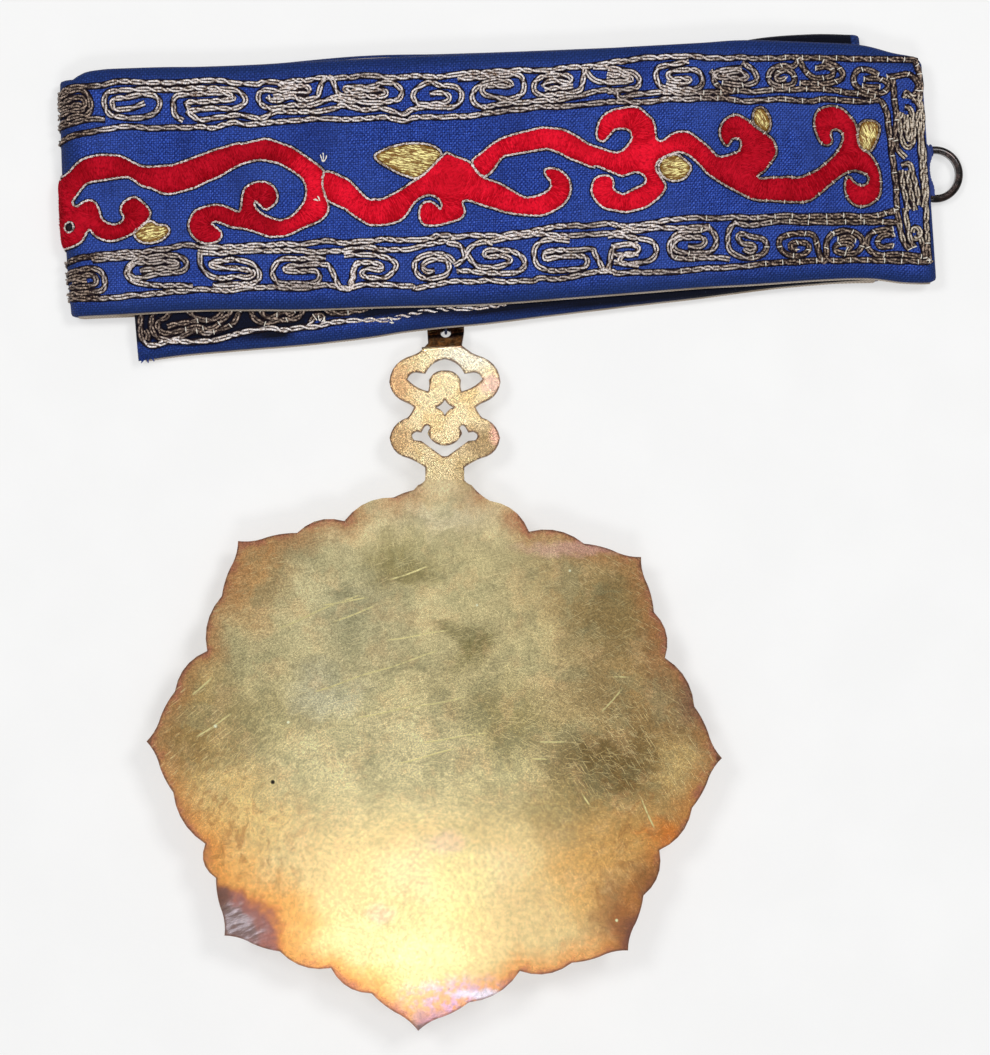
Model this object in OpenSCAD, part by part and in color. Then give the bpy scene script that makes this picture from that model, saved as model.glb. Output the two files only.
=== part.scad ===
// Order badge on a folded embroidered neckband, lying back up.
// +X is the reader's right, +Y is up the page and +Z is up from the table.

/* [Badge] */
// Thickness of the back sheet
sheet_t = 0.9; // [0.7:0.1:1.2]
// Total height of the badge from the sheet's back to the top of the front boss
badge_depth = 8.5; // [8.4:0.1:9.5]
// Lean of the plate down towards the band, in degrees
plate_lean = 2; // [1:0.5:3]
// Angle from a point's tip to the notches beside it
shoulder_turn = 11; // [9:0.5:13]
// Bulge of each round lobe of the edge
lobe_bulge = 1.3; // [0.6:0.1:1.6]
// Hollow of the edge next to a point's tip
tip_hollow = 0.35; // [0:0.05:0.5]
// Swell of the edge next to a notch
shoulder_swell = 0.2; // [0:0.05:0.4]

/* [Badge front] */
// Size of the lobed step on the front, as a share of the back sheet
step_share = 0.93; // [0.85:0.01:0.96]
// Thickness of the lobed step
step_t = 1; // [0.6:0.1:1.4]
// Diameter of the large disc on the front
large_disc_d = 58; // [50:1:66]
// Thickness of the large disc
large_disc_t = 1.8; // [1:0.1:2.2]
// Diameter of the small disc on the front
small_disc_d = 38; // [32:1:46]
// Thickness of the small disc
small_disc_t = 1.9; // [1:0.1:2.2]
// Diameter of the boss on the front
boss_d = 26; // [20:1:30]

/* [Hanger] */
// Bend of the pierced hanger below the plate, in degrees
hanger_bend = 5; // [3:0.5:6]
// Slope of the tab, from level, in degrees
tab_slope = 28; // [24:1:30]
// Turn of the line on which the tab is bent, in degrees
tab_turn = 6; // [0:1:8]
// Length of the tab from its bend
tab_length = 4.9; // [4.5:0.1:5]
// How much thicker than the sheet the solder bead in a bend is
bead_extra = 0.1; // [0.08:0.02:0.2]
// Radius of the round hole in the tab
tab_hole_r = 0.95; // [0.8:0.05:1.05]

/* [Neckband] */
// Thickness of the embroidered cloth
cloth_t = 1.2; // [1:0.1:1.3]
// Thickness of the lining
lining_t = 0.35; // [0.3:0.05:0.4]
// Clearance between the cloth and its lining
lining_gap = 0.08; // [0.07:0.01:0.1]
// Air between the middle part and the wing that is folded onto it
lower_air = 0.25; // [0.2:0.05:0.4]
// Air between the two wings
upper_air = 0.55; // [0.5:0.05:0.7]
// Part of the band's width over which an edge lifts or droops
edge_share = 0.2; // [0.15:0.01:0.25]

/* [Fastening] */
// Outer diameter of the closing ring
ring_d = 10.4; // [10:0.1:10.8]
// Radius of the ring's round hole
ring_hole_r = 3.8; // [3.6:0.1:4]
// Height of the ring's wire
ring_t = 1.4; // [1.2:0.1:1.5]
// Lean of the ring towards the table, in degrees
ring_lean = 5; // [3:1:6]
// Wire diameter of the closing hook
hook_wire_d = 0.7; // [0.6:0.05:0.75]
// Thread diameter of the loop that carries the badge
loop_thread_d = 0.5; // [0.4:0.05:0.55]

/* [Hidden] */
$fn = 64;

// Centre of the plate
plate_centre = [-14.4, -39.5];
// The hanger's middle line and the neck where it leaves the plate, from the plate's centre
neck = [2.1, 48.9];
// Middle of the bend between hanger and tab, from the neck
bend_mid = [-0.5, 24.5];
// The tab's hole, from the middle of its bend, along and across the tab
tab_hole = [0.93, 2.97];

// The eight points of the edge. Each row gives a point's turn from +X and its reach, the
// reach of the notch after it, the turn and reach of the valley that follows, and the
// reach of the notch before the next point
TURN = 0;
REACH = 1;
NOTCH_AFTER = 2;
VALLEY_TURN = 3;
VALLEY_REACH = 4;
NOTCH_BEFORE_NEXT = 5;
points = [
    [-2.2, 52.8, 48.3, 21.0, 45.4, 47.3],
    [42.4, 51.5, 46.3, 66.0, 43.1, 46.2],
    [88.0, 48.7, 46.2, 111.5, 44.4, 46.4],
    [133.5, 51.9, 47.5, 157.0, 44.9, 48.3],
    [178.9, 52.4, 48.2, 203.0, 45.2, 46.3],
    [222.1, 51.3, 46.6, 245.2, 44.4, 46.3],
    [267.0, 51.8, 47.0, 291.2, 43.8, 46.8],
    [313.8, 51.4, 47.0, 335.5, 45.4, 48.6],
];

// Right halves of the outlines on the hanger: distance from the middle line,
// height above the neck, bulge of the run to the next row (inwards when negative)
neck_half = 3.54;
foot_half = [
    [8.6, -6, 0],
    [7.6, -3.5, -0.15],
    [4.9, -1.0, -0.15],
    [neck_half, 0, 0],
];
hanger_half = [
    [neck_half, 0, 0],
    [3.59, 2.3, -0.1],
    [6.6, 4.0, 0.9],
    [10.13, 7.7, 0.75],
    [6.8, 11.5, -0.1],
    [5.65, 13.4, -0.1],
    [7.3, 14.4, 0.7],
    [10.21, 18.1, 0.85],
    [6.95, 22.7, -0.05],
    [4.9, 23.5, 0],
];
arch_half = [
    [0, 20.25, -0.6],
    [2.95, 18.4, 0.15],
    [3.1, 16.35, 0.35],
    [6.9, 18.6, 0.6],
    [4.6, 19.8, 0],
    [3.6, 19.65, 0.6],
    [0, 22.4, 0],
];
bowl_half = [
    [0, 4.3, 0],
    [0.55, 4.4, 0],
    [4.3, 7.15, 0],
    [5.6, 7.3, 0.6],
    [5.2, 8.9, 0],
    [4.3, 8.75, 0],
    [3.8, 9.7, 0.5],
    [2.7, 9.5, -0.1],
    [3.15, 8.5, -0.6],
    [0, 6.3, 0],
];
lozenge_half = [
    [0, 11.95, -0.22],
    [1.65, 13.4, -0.22],
    [0, 14.8, 0],
];

// Heights of the middle surface of the cloth in each of the three layers
layer_t = cloth_t + lining_gap + lining_t;
middle_z = cloth_t / 2;
wing_a_z = 2 * layer_t + lower_air - cloth_t / 2;
wing_b_z = 3 * layer_t + lower_air + upper_air - cloth_t / 2;

// Rows of the band. Each row crosses it: upper edge x and y, how far the upper edge
// lifts, lower edge x and y, how far the lower edge lifts, rise of the whole row
RISE = 6;
function upper(row) = [row[0], row[1]];
function upper_lift(row) = row[2];
function lower(row) = [row[3], row[4]];
function lower_lift(row) = row[5];
wing_a_rows = [
    [-72.2, 75.9, 0, -68.7, 31.2, -0.9, 0],
    [-63.6, 77.5, 0, -60.1, 32.4, -0.7, 0],
    [-52.0, 78.6, 0, -48.7, 33.4, -0.4, 0],
    [-42.0, 79.3, 0, -38.8, 34.2, -0.1, 0],
    [-30.1, 80.6, 0, -27.1, 35.5, 0.2, 0],
    [-23.0, 81.6, 0, -20.0, 36.6, 0.6, 0],
    [-15.2, 82.4, 0, -12.2, 37.5, 0.9, 0],
    [-8.4, 83.2, 0, -5.4, 38.1, 0.6, 0],
    [2.5, 84.5, 0, 5.0, 39.4, 0.1, 0],
    [17.6, 86.3, 0, 19.8, 41.2, 0, 0],
    [32.6, 88.0, 0, 34.5, 42.9, 0, 0],
    [45.0, 90.5, 0, 46.5, 44.5, 0, 0],
    [55.0, 91.3, 0, 56.8, 45.5, 0, 0],
    [62.1, 91.2, 0, 66.4, 46.2, 0, 0],
];
middle_rows = [
    [62.1, 91.2, 0, 66.4, 45.9, 0, 0],
    [55.0, 91.3, 0, 57.0, 45.6, 0, 0],
    [34.5, 89.8, 0, 35.4, 44.2, 0, 0],
    [5.1, 88.5, 0, 6.0, 42.8, 0, 0],
    [-12.3, 87.9, 0, -11.7, 42.0, 0, 0],
    [-29.7, 87.4, 0, -29.3, 41.2, 0, 0],
    [-57.2, 84.7, 0, -56.4, 40.1, 0, 0],
    [-75.5, 83.3, 0, -74.4, 39.4, 0, 0],
    [-80.6, 82.4, 0, -78.5, 39.2, 0, 0],
];
wing_b_rows = [
    [-80.6, 82.8, 0, -78.5, 39.4, 0, -0.7],
    [-78.5, 84.1, 0, -76.8, 39.5, 0, -0.7],
    [-75.0, 84.7, -0.2, -74.2, 39.6, 0, -0.5],
    [-70.8, 84.9, -0.4, -70.5, 39.8, 0, -0.2],
    [-64.0, 85.1, -0.6, -63.5, 40.2, 0, 0],
    [-57.2, 85.2, -0.8, -56.8, 40.5, 0, 0],
    [-46.7, 85.6, -0.8, -46.4, 40.6, 0, 0],
    [-38.8, 86.1, -0.8, -38.5, 40.6, 0, 0],
    [-24.2, 86.8, -0.6, -23.8, 41.1, 0, 0],
    [-5.9, 87.6, -0.4, -5.5, 41.6, 0, 0],
    [12.1, 88.3, -0.2, 12.5, 42.9, 0, 0],
    [23.5, 88.9, 0, 24.0, 43.8, 0, 0],
    [34.5, 89.5, 0, 35.2, 44.7, 0, 0],
    [42.9, 90.0, 0, 44.0, 45.2, 0, 0],
    [55.7, 89.6, 0, 57.2, 46.1, 0, 0],
    [64.0, 89.1, 0, 65.6, 46.3, 0, 0],
    [69.8, 87.7, 0, 71.8, 45.6, -0.1, -0.3],
    [74.0, 86.9, 0, 76.9, 45.6, -0.2, -0.8],
    [75.2, 85.6, 0, 77.9, 46.4, -0.2, -1.1],
];
// Bow of the left fold's edge between its ends, and steps round a fold
left_bow = 0.5;
fold_steps = 8;

// Where the ring lies, and how far it is below the end of the upper wing
ring_centre = [78.0, 65.6];
ring_drop = 0.15;
// Where the hook leaves the end of the lower wing
hook_root = [-70.75, 54];
hook_reach = 5.6;
hook_return = 3;
hook_bend_r = 0.42;
hook_clearance = 0.1;
// The thread's route through the tab's hole, along y and z
loop_x = -12.15;
loop_route = [
    [41.45, 0.42],
    [38.5, 0.36],
    [37.0, 0.36],
    [36.45, 0.6],
    [36.35, 1.4],
    [36.4, 2.15],
    [36.65, 2.5],
    [37.1, 2.52],
    [37.6, 2.3],
    [38.5, 1.85],
    [41.45, 1.15],
];

// A point at a turn and a reach from the centre
function polar(turn, reach) = reach * [cos(turn), sin(turn)];

// Points of a bowed run from p to q without q; it bulges to the right of the way
function bow(p, q, bulge, steps = 5) =
    let (way = q - p, side = [way.y, -way.x] / norm(way))
    [for (i = [0:(bulge == 0 ? 0 : steps - 1)])
        let (t = i / steps) p + way * t + 4 * bulge * t * (1 - t) * side];

// The edge from one point to the next, with the lobes on both sides of their valley
function edge_stretch(i) =
    let (
        here = points[i],
        next = points[(i + 1) % len(points)],
        next_turn = next[TURN] + (i == len(points) - 1 ? 360 : 0),
        tip = polar(here[TURN], here[REACH]),
        notch = polar(here[TURN] + shoulder_turn, here[NOTCH_AFTER]),
        valley = polar(here[VALLEY_TURN], here[VALLEY_REACH]),
        next_notch = polar(next_turn - shoulder_turn, here[NOTCH_BEFORE_NEXT]),
        next_tip = polar(next_turn, next[REACH])
    )
    concat(
        bow(tip, (tip + notch) / 2, -tip_hollow),
        bow((tip + notch) / 2, notch, shoulder_swell),
        bow(notch, valley, lobe_bulge),
        bow(valley, next_notch, lobe_bulge),
        bow(next_notch, (next_notch + next_tip) / 2, shoulder_swell),
        bow((next_notch + next_tip) / 2, next_tip, -tip_hollow)
    );

plate_edge = [for (i = [0:len(points) - 1]) each edge_stretch(i)];

// A whole outline from the rows of its right half and optional points at the top
function both_sides(rows, top = []) =
    let (last = len(rows) - 1)
    concat(
        [for (i = [0:last - 1])
            each bow([rows[i][0], rows[i][1]], [rows[i + 1][0], rows[i + 1][1]], rows[i][2])],
        [[rows[last][0], rows[last][1]]],
        top,
        [for (i = [last:-1:1])
            each bow([-rows[i][0], rows[i][1]], [-rows[i - 1][0], rows[i - 1][1]], rows[i - 1][2])],
        rows[0][0] == 0 ? [] : [[-rows[0][0], rows[0][1]]]
    );

// Half lengths of the bend line to the right and to the left of its middle
bend_right = 3.6;
bend_left = 3.7;
bend_ends = [
    bend_mid + bend_right * [cos(tab_turn), sin(tab_turn)],
    bend_mid - bend_left * [cos(tab_turn), sin(tab_turn)],
];

// Height of the sheet's back above the table, so that the boss just meets it
boss_h = badge_depth - sheet_t - step_t - large_disc_t - small_disc_t;
boss_r = (pow(boss_d / 2, 2) + boss_h * boss_h) / (2 * boss_h);
plate_z = badge_depth * cos(plate_lean) + boss_r * (1 - cos(plate_lean));

// The tab: its outline from the middle of the bend, with a rounded end
tab_outline = concat(
    [[bend_right, 0], [4.3, 2.8]],
    [for (a = [0:15:90]) [3.4, tab_length - 1] + polar(a, 1)],
    [for (a = [90:15:180]) [-1.4, tab_length - 1] + polar(a, 1)],
    [[-2.5, 1.2], [-bend_left, 0]]
);

module sheet() {
    translate([0, 0, -sheet_t]) linear_extrude(sheet_t) children();
}

// The bead that fills a bend across the sheet, between two places on the line of the bend
module bend_bead(left, right) {
    translate([(left + right) / 2, 0, -sheet_t / 2])
        rotate([0, 90, 0])
        cylinder(d = sheet_t + bead_extra, h = right - left, center = true);
}

module front_body() {
    translate([0, 0, -sheet_t - step_t])
        linear_extrude(step_t + sheet_t / 2) polygon(plate_edge * step_share);
    translate([0, 0, -sheet_t - step_t - large_disc_t])
        cylinder(d = large_disc_d, h = large_disc_t + step_t / 2);
    translate([0, 0, -badge_depth + boss_h])
        cylinder(d = small_disc_d, h = small_disc_t + step_t / 2);
    intersection() {
        translate([0, 0, -badge_depth + boss_r]) sphere(r = boss_r, $fn = 96);
        translate([0, 0, -badge_depth]) cylinder(d = boss_d, h = boss_h + small_disc_t / 2);
    }
}

module hanger() {
    sheet() difference() {
        polygon(both_sides(hanger_half, bend_ends));
        polygon(both_sides(arch_half));
        polygon(both_sides(bowl_half));
        polygon(both_sides(lozenge_half));
    }
    translate([bend_mid.x, bend_mid.y, 0])
        rotate([0, 0, tab_turn]) {
        bend_bead(-bend_left - bead_extra / 2, bend_right + bead_extra / 2);
        rotate([plate_lean + hanger_bend - tab_slope, 0, 0])
            difference() {
                sheet() polygon(tab_outline);
                translate([tab_hole.x, tab_hole.y, -sheet_t - 1])
                    cylinder(r = tab_hole_r, h = sheet_t + 2);
            }
    }
}

module badge() {
    color("darkgoldenrod")
        translate([plate_centre.x, plate_centre.y, plate_z])
        rotate([-plate_lean, 0, 0]) {
            sheet() polygon(plate_edge);
            front_body();
            translate([neck.x, neck.y, 0]) {
                sheet() polygon(both_sides(foot_half));
                bend_bead(-neck_half - bead_extra / 2, neck_half + bead_extra / 2);
                rotate([-hanger_bend, 0, 0]) hanger();
            }
        }
}

// A station of the band: upper edge, lower edge, their lifts, height of the middle
// surface, the angle of its outer side in the x-z plane and the bow of the row along x
function station(row, z, outer) =
    [upper(row), lower(row), [upper_lift(row), lower_lift(row)], z + row[RISE], outer, 0];

// Stations round a fold between two rows of equal x, from angle a to angle b
function fold_stations(row, next_row, z, next_z, a, b, bow_x) =
    let (r = abs(next_z - z) / 2, middle = (z + next_z) / 2)
    [for (i = [1:fold_steps - 1])
        let (t = i / fold_steps, turn = a + (b - a) * t, out = [r * cos(turn), 0])
        [
            upper(row) + (upper(next_row) - upper(row)) * t + out,
            lower(row) + (lower(next_row) - lower(row)) * t + out,
            [0, 0],
            middle + r * sin(turn),
            turn,
            bow_x * sin(180 * t)
        ]];

function ends_at(rows) = rows[len(rows) - 1];

stations = concat(
    [for (row = wing_a_rows) station(row, wing_a_z, 90)],
    fold_stations(ends_at(wing_a_rows), middle_rows[0], wing_a_z, middle_z, 90, -90, 0),
    [for (row = middle_rows) station(row, middle_z, -90)],
    fold_stations(ends_at(middle_rows), wing_b_rows[0], middle_z, wing_b_z + wing_b_rows[0][RISE],
        -90, -270, -left_bow),
    [for (row = wing_b_rows) station(row, wing_b_z, -270)]
);

// Lift of the cloth at share u of the way from the upper to the lower edge
function lift(lifts, u) =
    lifts[0] * pow(max(0, 1 - u / edge_share), 2)
    + lifts[1] * pow(max(0, 1 - (1 - u) / edge_share), 2);

// A point of the band at share u of its width and height h outside its middle surface
function band_point(s, u, h) =
    let (plan = s[0] + (s[1] - s[0]) * u)
    [
        plan.x + h * cos(s[4]) + s[5] * 4 * u * (1 - u),
        plan.y,
        s[3] + lift(s[2], min(1, max(0, u))) + h * sin(s[4])
    ];

// Shares of the width at which a section of the band has points, without the rounded edges
section_shares = [0.012, 0.05, 0.1, 0.2, 0.5, 0.8, 0.9, 0.95, 0.988];

// A closed section from share a to share b, between heights low and high
function section(s, a, b, low, high) =
    let (mid = (low + high) / 2, round_h = (high - low) / 4)
    concat(
        [band_point(s, a, mid - round_h), band_point(s, a, mid + round_h)],
        [for (u = section_shares) band_point(s, a + (b - a) * u, high)],
        [band_point(s, b, mid + round_h), band_point(s, b, mid - round_h)],
        [for (i = [len(section_shares) - 1:-1:0])
            band_point(s, a + (b - a) * section_shares[i], low)]
    );

// A solid through closed rings of an even number of points, with flat ends in strips
module lofted(rings) {
    n = len(rings[0]);
    last = len(rings) - 1;
    polyhedron(
        points = [for (ring = rings) each ring],
        faces = concat(
            [for (i = [0:last - 1]) for (j = [0:n - 1])
                let (k = (j + 1) % n) each [
                    [i * n + j, (i + 1) * n + k, i * n + k],
                    [i * n + j, (i + 1) * n + j, (i + 1) * n + k],
                ]],
            [for (j = [1:n / 2 - 1]) [j, j + 1, n - j, (n - j + 1) % n]],
            [for (j = [1:n / 2 - 1]) [for (k = [(n - j + 1) % n, n - j, j + 1, j]) last * n + k]]
        )
    );
}

module neckband() {
    color("royalblue")
        lofted([for (s = stations) section(s, 0, 1, -cloth_t / 2, cloth_t / 2)]);
}

// The lining is narrower at the band's upper edge and shows past its lower edge
lining_from = 0.012;
lining_to = 1.009;

module band_lining() {
    top = -cloth_t / 2 - lining_gap;
    color("tan")
        lofted([for (s = stations) section(s, lining_from, lining_to, top - lining_t, top)]);
}

// Half of the ring cut through: a flat inner wall and a rounded outer side
module ring_section() {
    r = ring_t / 2;
    polygon(concat(
        [[ring_hole_r, 0], [ring_d / 2 - r, 0]],
        [for (a = [-75:15:75]) [ring_d / 2 - r, r] + polar(a, r)],
        [[ring_d / 2 - r, ring_t], [ring_hole_r, ring_t]]
    ));
}

module closing_ring() {
    under_end = wing_b_z + ends_at(wing_b_rows)[RISE] - cloth_t / 2 - lining_gap - lining_t;
    color([0.12, 0.1, 0.09])
        translate([ring_centre.x - ring_d / 2, ring_centre.y, under_end - ring_drop])
        rotate([0, ring_lean, 0])
        translate([ring_d / 2, 0, -ring_t])
        rotate_extrude($fn = 96) ring_section();
}

// A round wire along a route in a plane; each station's ring is square to the route
module wire(route, d, sides = 8) {
    last = len(route) - 1;
    lofted([for (i = [0:last])
        let (
            way = route[min(i + 1, last)] - route[max(i - 1, 0)],
            side = [-way.y, way.x] / norm(way)
        )
        [for (j = [0:sides - 1])
            let (p = polar(-j * 360 / sides, d / 2), centre = route[i] + side * p.y)
            [p.x, centre.x, centre.y]]
    ]);
}

module closing_hook() {
    low = layer_t + hook_clearance + hook_wire_d / 2;
    route = concat(
        [[0, 0], [hook_reach, 0]],
        [for (a = [-60:30:60]) [hook_reach, hook_bend_r] + polar(a, hook_bend_r)],
        [[hook_reach, 2 * hook_bend_r], [hook_reach - hook_return, 2 * hook_bend_r]]
    );
    color("dimgray")
        translate([hook_root.x, hook_root.y, low])
        rotate([0, 0, 90])
        wire(route, hook_wire_d);
}

module badge_loop() {
    color("midnightblue") translate([loop_x, 0, 0]) wire(loop_route, loop_thread_d);
}

badge();
neckband();
band_lining();
closing_ring();
closing_hook();
badge_loop();
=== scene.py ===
"""An order badge lying face down below its embroidered neckband, which is folded in three.

Lengths in the sections below are in millimetres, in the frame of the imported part: +X to the
right, +Y away from the viewer's lap, +Z up from the table. MM turns them into metres.
"""
import math

import bmesh
import bpy
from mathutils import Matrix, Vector, noise
from mathutils.bvhtree import BVHTree
from mathutils.geometry import delaunay_2d_cdt
from mathutils.kdtree import KDTree


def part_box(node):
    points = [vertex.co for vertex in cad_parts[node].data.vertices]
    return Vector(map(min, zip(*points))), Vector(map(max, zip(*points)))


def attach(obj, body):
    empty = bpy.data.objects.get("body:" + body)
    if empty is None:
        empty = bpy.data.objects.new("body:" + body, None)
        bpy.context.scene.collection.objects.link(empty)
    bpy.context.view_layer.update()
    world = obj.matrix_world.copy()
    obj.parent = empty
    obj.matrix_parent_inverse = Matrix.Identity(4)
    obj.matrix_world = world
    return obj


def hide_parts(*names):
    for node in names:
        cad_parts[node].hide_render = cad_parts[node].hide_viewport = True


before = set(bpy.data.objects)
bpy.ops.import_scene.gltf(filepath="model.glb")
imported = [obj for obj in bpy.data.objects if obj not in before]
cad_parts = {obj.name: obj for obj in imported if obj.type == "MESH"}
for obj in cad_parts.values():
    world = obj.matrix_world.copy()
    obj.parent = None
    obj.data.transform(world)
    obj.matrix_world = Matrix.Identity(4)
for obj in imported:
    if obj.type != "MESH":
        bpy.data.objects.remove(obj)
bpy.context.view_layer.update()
MM = 0.001

# ---------------------------------------------------------------------------------------------
# Camera: the badge and its band lie on a table and are seen from straight above.
# The lens is long, and the frame is 181 by 193 mm at the height of the band's top.

camera_height = 906
camera_lens = 167.6
frame_middle = (-3.1, 0.6)

camera_data = bpy.data.cameras.new("camera")
camera_data.lens = camera_lens
camera_data.sensor_width = 36
camera_data.clip_start = 0.01
camera = bpy.data.objects.new("camera", camera_data)
camera.location = (frame_middle[0] * MM, frame_middle[1] * MM, camera_height * MM)
bpy.context.collection.objects.link(camera)
bpy.context.scene.camera = camera
bpy.context.scene.view_settings.view_transform = "Standard"

# ---------------------------------------------------------------------------------------------
# Table and light: a pale sheet, faintly lit from beneath, under a grey room and soft lamps.
# One small lamp beside the camera is mirrored by the badge's lower half, as in the photograph.

overhead_grey = 0.5
wall_grey = 0.2
floor_half = 1500


def linear(red, green, blue, share=1.0):
    """A colour given as 0 to 255, as it is seen, in the linear values that shaders use."""
    values = []
    for value in (red, green, blue):
        part = value / 255
        part = part / 12.92 if part <= 0.04045 else ((part + 0.055) / 1.055) ** 2.4
        values.append(min(part * share, 1.0))
    return (*values, 1.0)


def fill(node, inputs):
    """Sets a node's inputs, named or numbered, or wires them where a socket is given."""
    for name, value in inputs.items():
        if isinstance(value, bpy.types.NodeSocket):
            node.id_data.links.new(value, node.inputs[name])
        else:
            node.inputs[name].default_value = value


def add(tree, kind, inputs=None, **settings):
    """A new node of a tree, with its options set and its inputs filled."""
    node = tree.nodes.new(kind)
    for name, value in settings.items():
        setattr(node, name, value)
    fill(node, inputs or {})
    return node


def wired(kind, inputs, **settings):
    """A new node in the tree that its inputs come from."""
    tree = next(value.id_data for value in inputs.values() if isinstance(value, bpy.types.NodeSocket))
    return add(tree, kind, inputs, **settings).outputs


def sums(operation, *values):
    """A Math node's result."""
    return wired("ShaderNodeMath", dict(enumerate(values)), operation=operation)[0]


def vectors(operation, first, second):
    """A Vector Math node's result."""
    return wired("ShaderNodeVectorMath", {0: first, 1: second}, operation=operation)[0]


def scaled(vector, amount):
    """A vector made longer or shorter."""
    return wired("ShaderNodeVectorMath", {0: vector, "Scale": amount}, operation="SCALE")[0]


def axes(vector):
    """A vector's three coordinates."""
    return wired("ShaderNodeSeparateXYZ", {0: vector})


def blend(share, first, second, kind="MIX"):
    """Two colours mixed by share, or put together in another way."""
    return wired("ShaderNodeMix", {0: share, 6: first, 7: second}, data_type="RGBA", blend_type=kind)[2]


def dimmed(colour, level):
    """A colour made darker or lighter by a factor."""
    return wired("ShaderNodeHueSaturation", {"Color": colour, "Value": level})[0]


def step(value, low, high, below=0.0, above=1.0):
    """Rises smoothly from below to above as value goes from low to high."""
    inputs = {"Value": value, 1: low, 2: high, 3: below, 4: above}
    return wired("ShaderNodeMapRange", inputs, interpolation_type="SMOOTHSTEP")[0]


def grain(place, scale, detail=3.0, roughness=0.5, colour=False):
    """Noise between 0 and 1, or three of them as a colour."""
    inputs = {"Vector": place, "Scale": scale, "Detail": detail, "Roughness": roughness}
    return wired("ShaderNodeTexNoise", inputs)[1 if colour else 0]


def stretched(place, scale, turn=0.0):
    """The place turned about Z by turn degrees, then scaled along each axis."""
    turned = wired("ShaderNodeVectorRotate", {"Vector": place, "Angle": math.radians(turn)},
                   rotation_type="Z_AXIS")[0]
    return vectors("MULTIPLY", turned, scale)


def new_finish(name):
    """A material with an empty Principled shader, and its place on the object in millimetres."""
    material = bpy.data.materials.new(name)
    material.use_nodes = True
    tree = material.node_tree
    place = tree.nodes.new("ShaderNodeTexCoord").outputs["Object"]
    return material, tree, tree.nodes["Principled BSDF"], scaled(place, 1 / MM)


def bump(shader, height, depth, strength):
    """A relief of that depth in millimetres on the shader's surface."""
    inputs = {"Height": height, "Distance": depth * MM, "Strength": strength}
    fill(shader, {"Normal": wired("ShaderNodeBump", inputs)[0]})


def put(name, data):
    """A new object of that name in the scene."""
    thing = bpy.data.objects.new(name, data)
    bpy.context.collection.objects.link(thing)
    return thing


floor_mesh = bpy.data.meshes.new("table")
edge = floor_half * MM
floor_mesh.from_pydata(
    [(-edge, -edge, 0), (edge, -edge, 0), (edge, edge, 0), (-edge, edge, 0)], [], [(0, 1, 2, 3)])
floor = put("table", floor_mesh)
table_white, tree, shader, place = new_finish("white_table")
shade = step(grain(place, 0.05, 4.0), 0.35, 0.7)
fill(shader, {"Base Color": blend(shade, (0.385, 0.385, 0.383, 1), (0.4, 0.4, 0.398, 1)),
              "Roughness": 0.9, "Specular IOR Level": 0.1,
              "Emission Color": (1, 1, 1, 1), "Emission Strength": 0.5})
bump(shader, grain(place, 0.6, 4.0), 0.15, 0.3)
floor_mesh.materials.append(table_white)

# the room is dimmer straight overhead, where the photographer stands
world = bpy.data.worlds.new("grey_room")
world.use_nodes = True
tree = world.node_tree
upwards = axes(add(tree, "ShaderNodeTexCoord").outputs["Generated"])["Z"]
fill(tree.nodes["Background"], {"Color": step(upwards, 0.3, 0.9, wall_grey, overhead_grey)})
bpy.context.scene.world = world

# name, place, size across and along, watts
lamps = [
    ("left_lamp", (-480, 330, 1000), 300, 300, 3.8),
    ("right_lamp", (490, 400, 1020), 300, 300, 5.0),
    ("front_lamp", (60, -640, 980), 380, 260, 2.8),
    ("hanger_lamp", (-26, 326, 1150), 90, 90, 0.007),
    ("top_lamp", (-6, 356, 1150), 34, 22, 0.020),
    ("neck_lamp", (-23, 70, 960), 64, 40, 0.006),
    ("foot_lamp", (-56, -96, 960), 200, 110, 0.019),
    ("mirrored_lamp", (-39, -92, 960), 60, 34, 0.020),
    ("glow_lamp", (-14, -62, 960), 46, 56, 0.004),
]
for name, spot, across, along, watts in lamps:
    lamp = bpy.data.lights.new(name, "AREA")
    lamp.shape = "RECTANGLE"
    lamp.size = across * MM
    lamp.size_y = along * MM
    lamp.energy = watts
    stand = put(name, lamp)
    stand.location = Vector(spot) * MM
    stand.rotation_euler = (-Vector(spot)).to_track_quat("-Z", "Y").to_euler()

# ---------------------------------------------------------------------------------------------
# Badge: stamped and gilt sheet brass, eight lobed points with a pierced hanger above them and
# a tab bent down at its neck, soldered to a stepped front. It lies with its back up, handled
# and scoured for years, so the gilding has worn to brass with heat tints along its rim.

weld = 0.002
rim_reach = 8.0
rim_pitch = 0.4
facing_up, facing_aside = 0.8, 0.4
back_floor = 7.0
hanger_low = 6.5
grid_pitch = 1.6
grid_shift = 0.37
wave_height = 0.05
wave_length = 19.0
bend_y, bend_z = 9.37, 6.807
bead_half_width = 0.3
plate_fall, neck_fall = 0.036, 0.1225
upright = 0.85
back_crease, side_crease = 3.2, 24


def finder(points):
    """Finds the nearest of some points of the plan."""
    tree = KDTree(max(1, len(points)))
    for number, point in enumerate(points):
        tree.insert((point.x, point.y, 0), number)
    tree.balance()
    return tree


sheet = bmesh.new()
sheet.from_mesh(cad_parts["badge"].data)
bmesh.ops.remove_doubles(sheet, verts=sheet.verts, dist=weld * MM)
sheet.normal_update()

# where the back of the sheet ends: its outline and the edges of its pierced holes
rim_points = []
for line in sheet.edges:
    tilts = [face.normal.z for face in line.link_faces]
    if len(tilts) == 2 and max(tilts) > facing_up and abs(min(tilts)) < facing_aside:
        first, last = (corner.co / MM for corner in line.verts)
        if min(first.z, last.z) > back_floor or first.y > hanger_low:
            count = max(1, int((last - first).length / rim_pitch))
            rim_points += [first.lerp(last, i / count) for i in range(count + 1)]
rim_finder = finder(rim_points)

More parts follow.
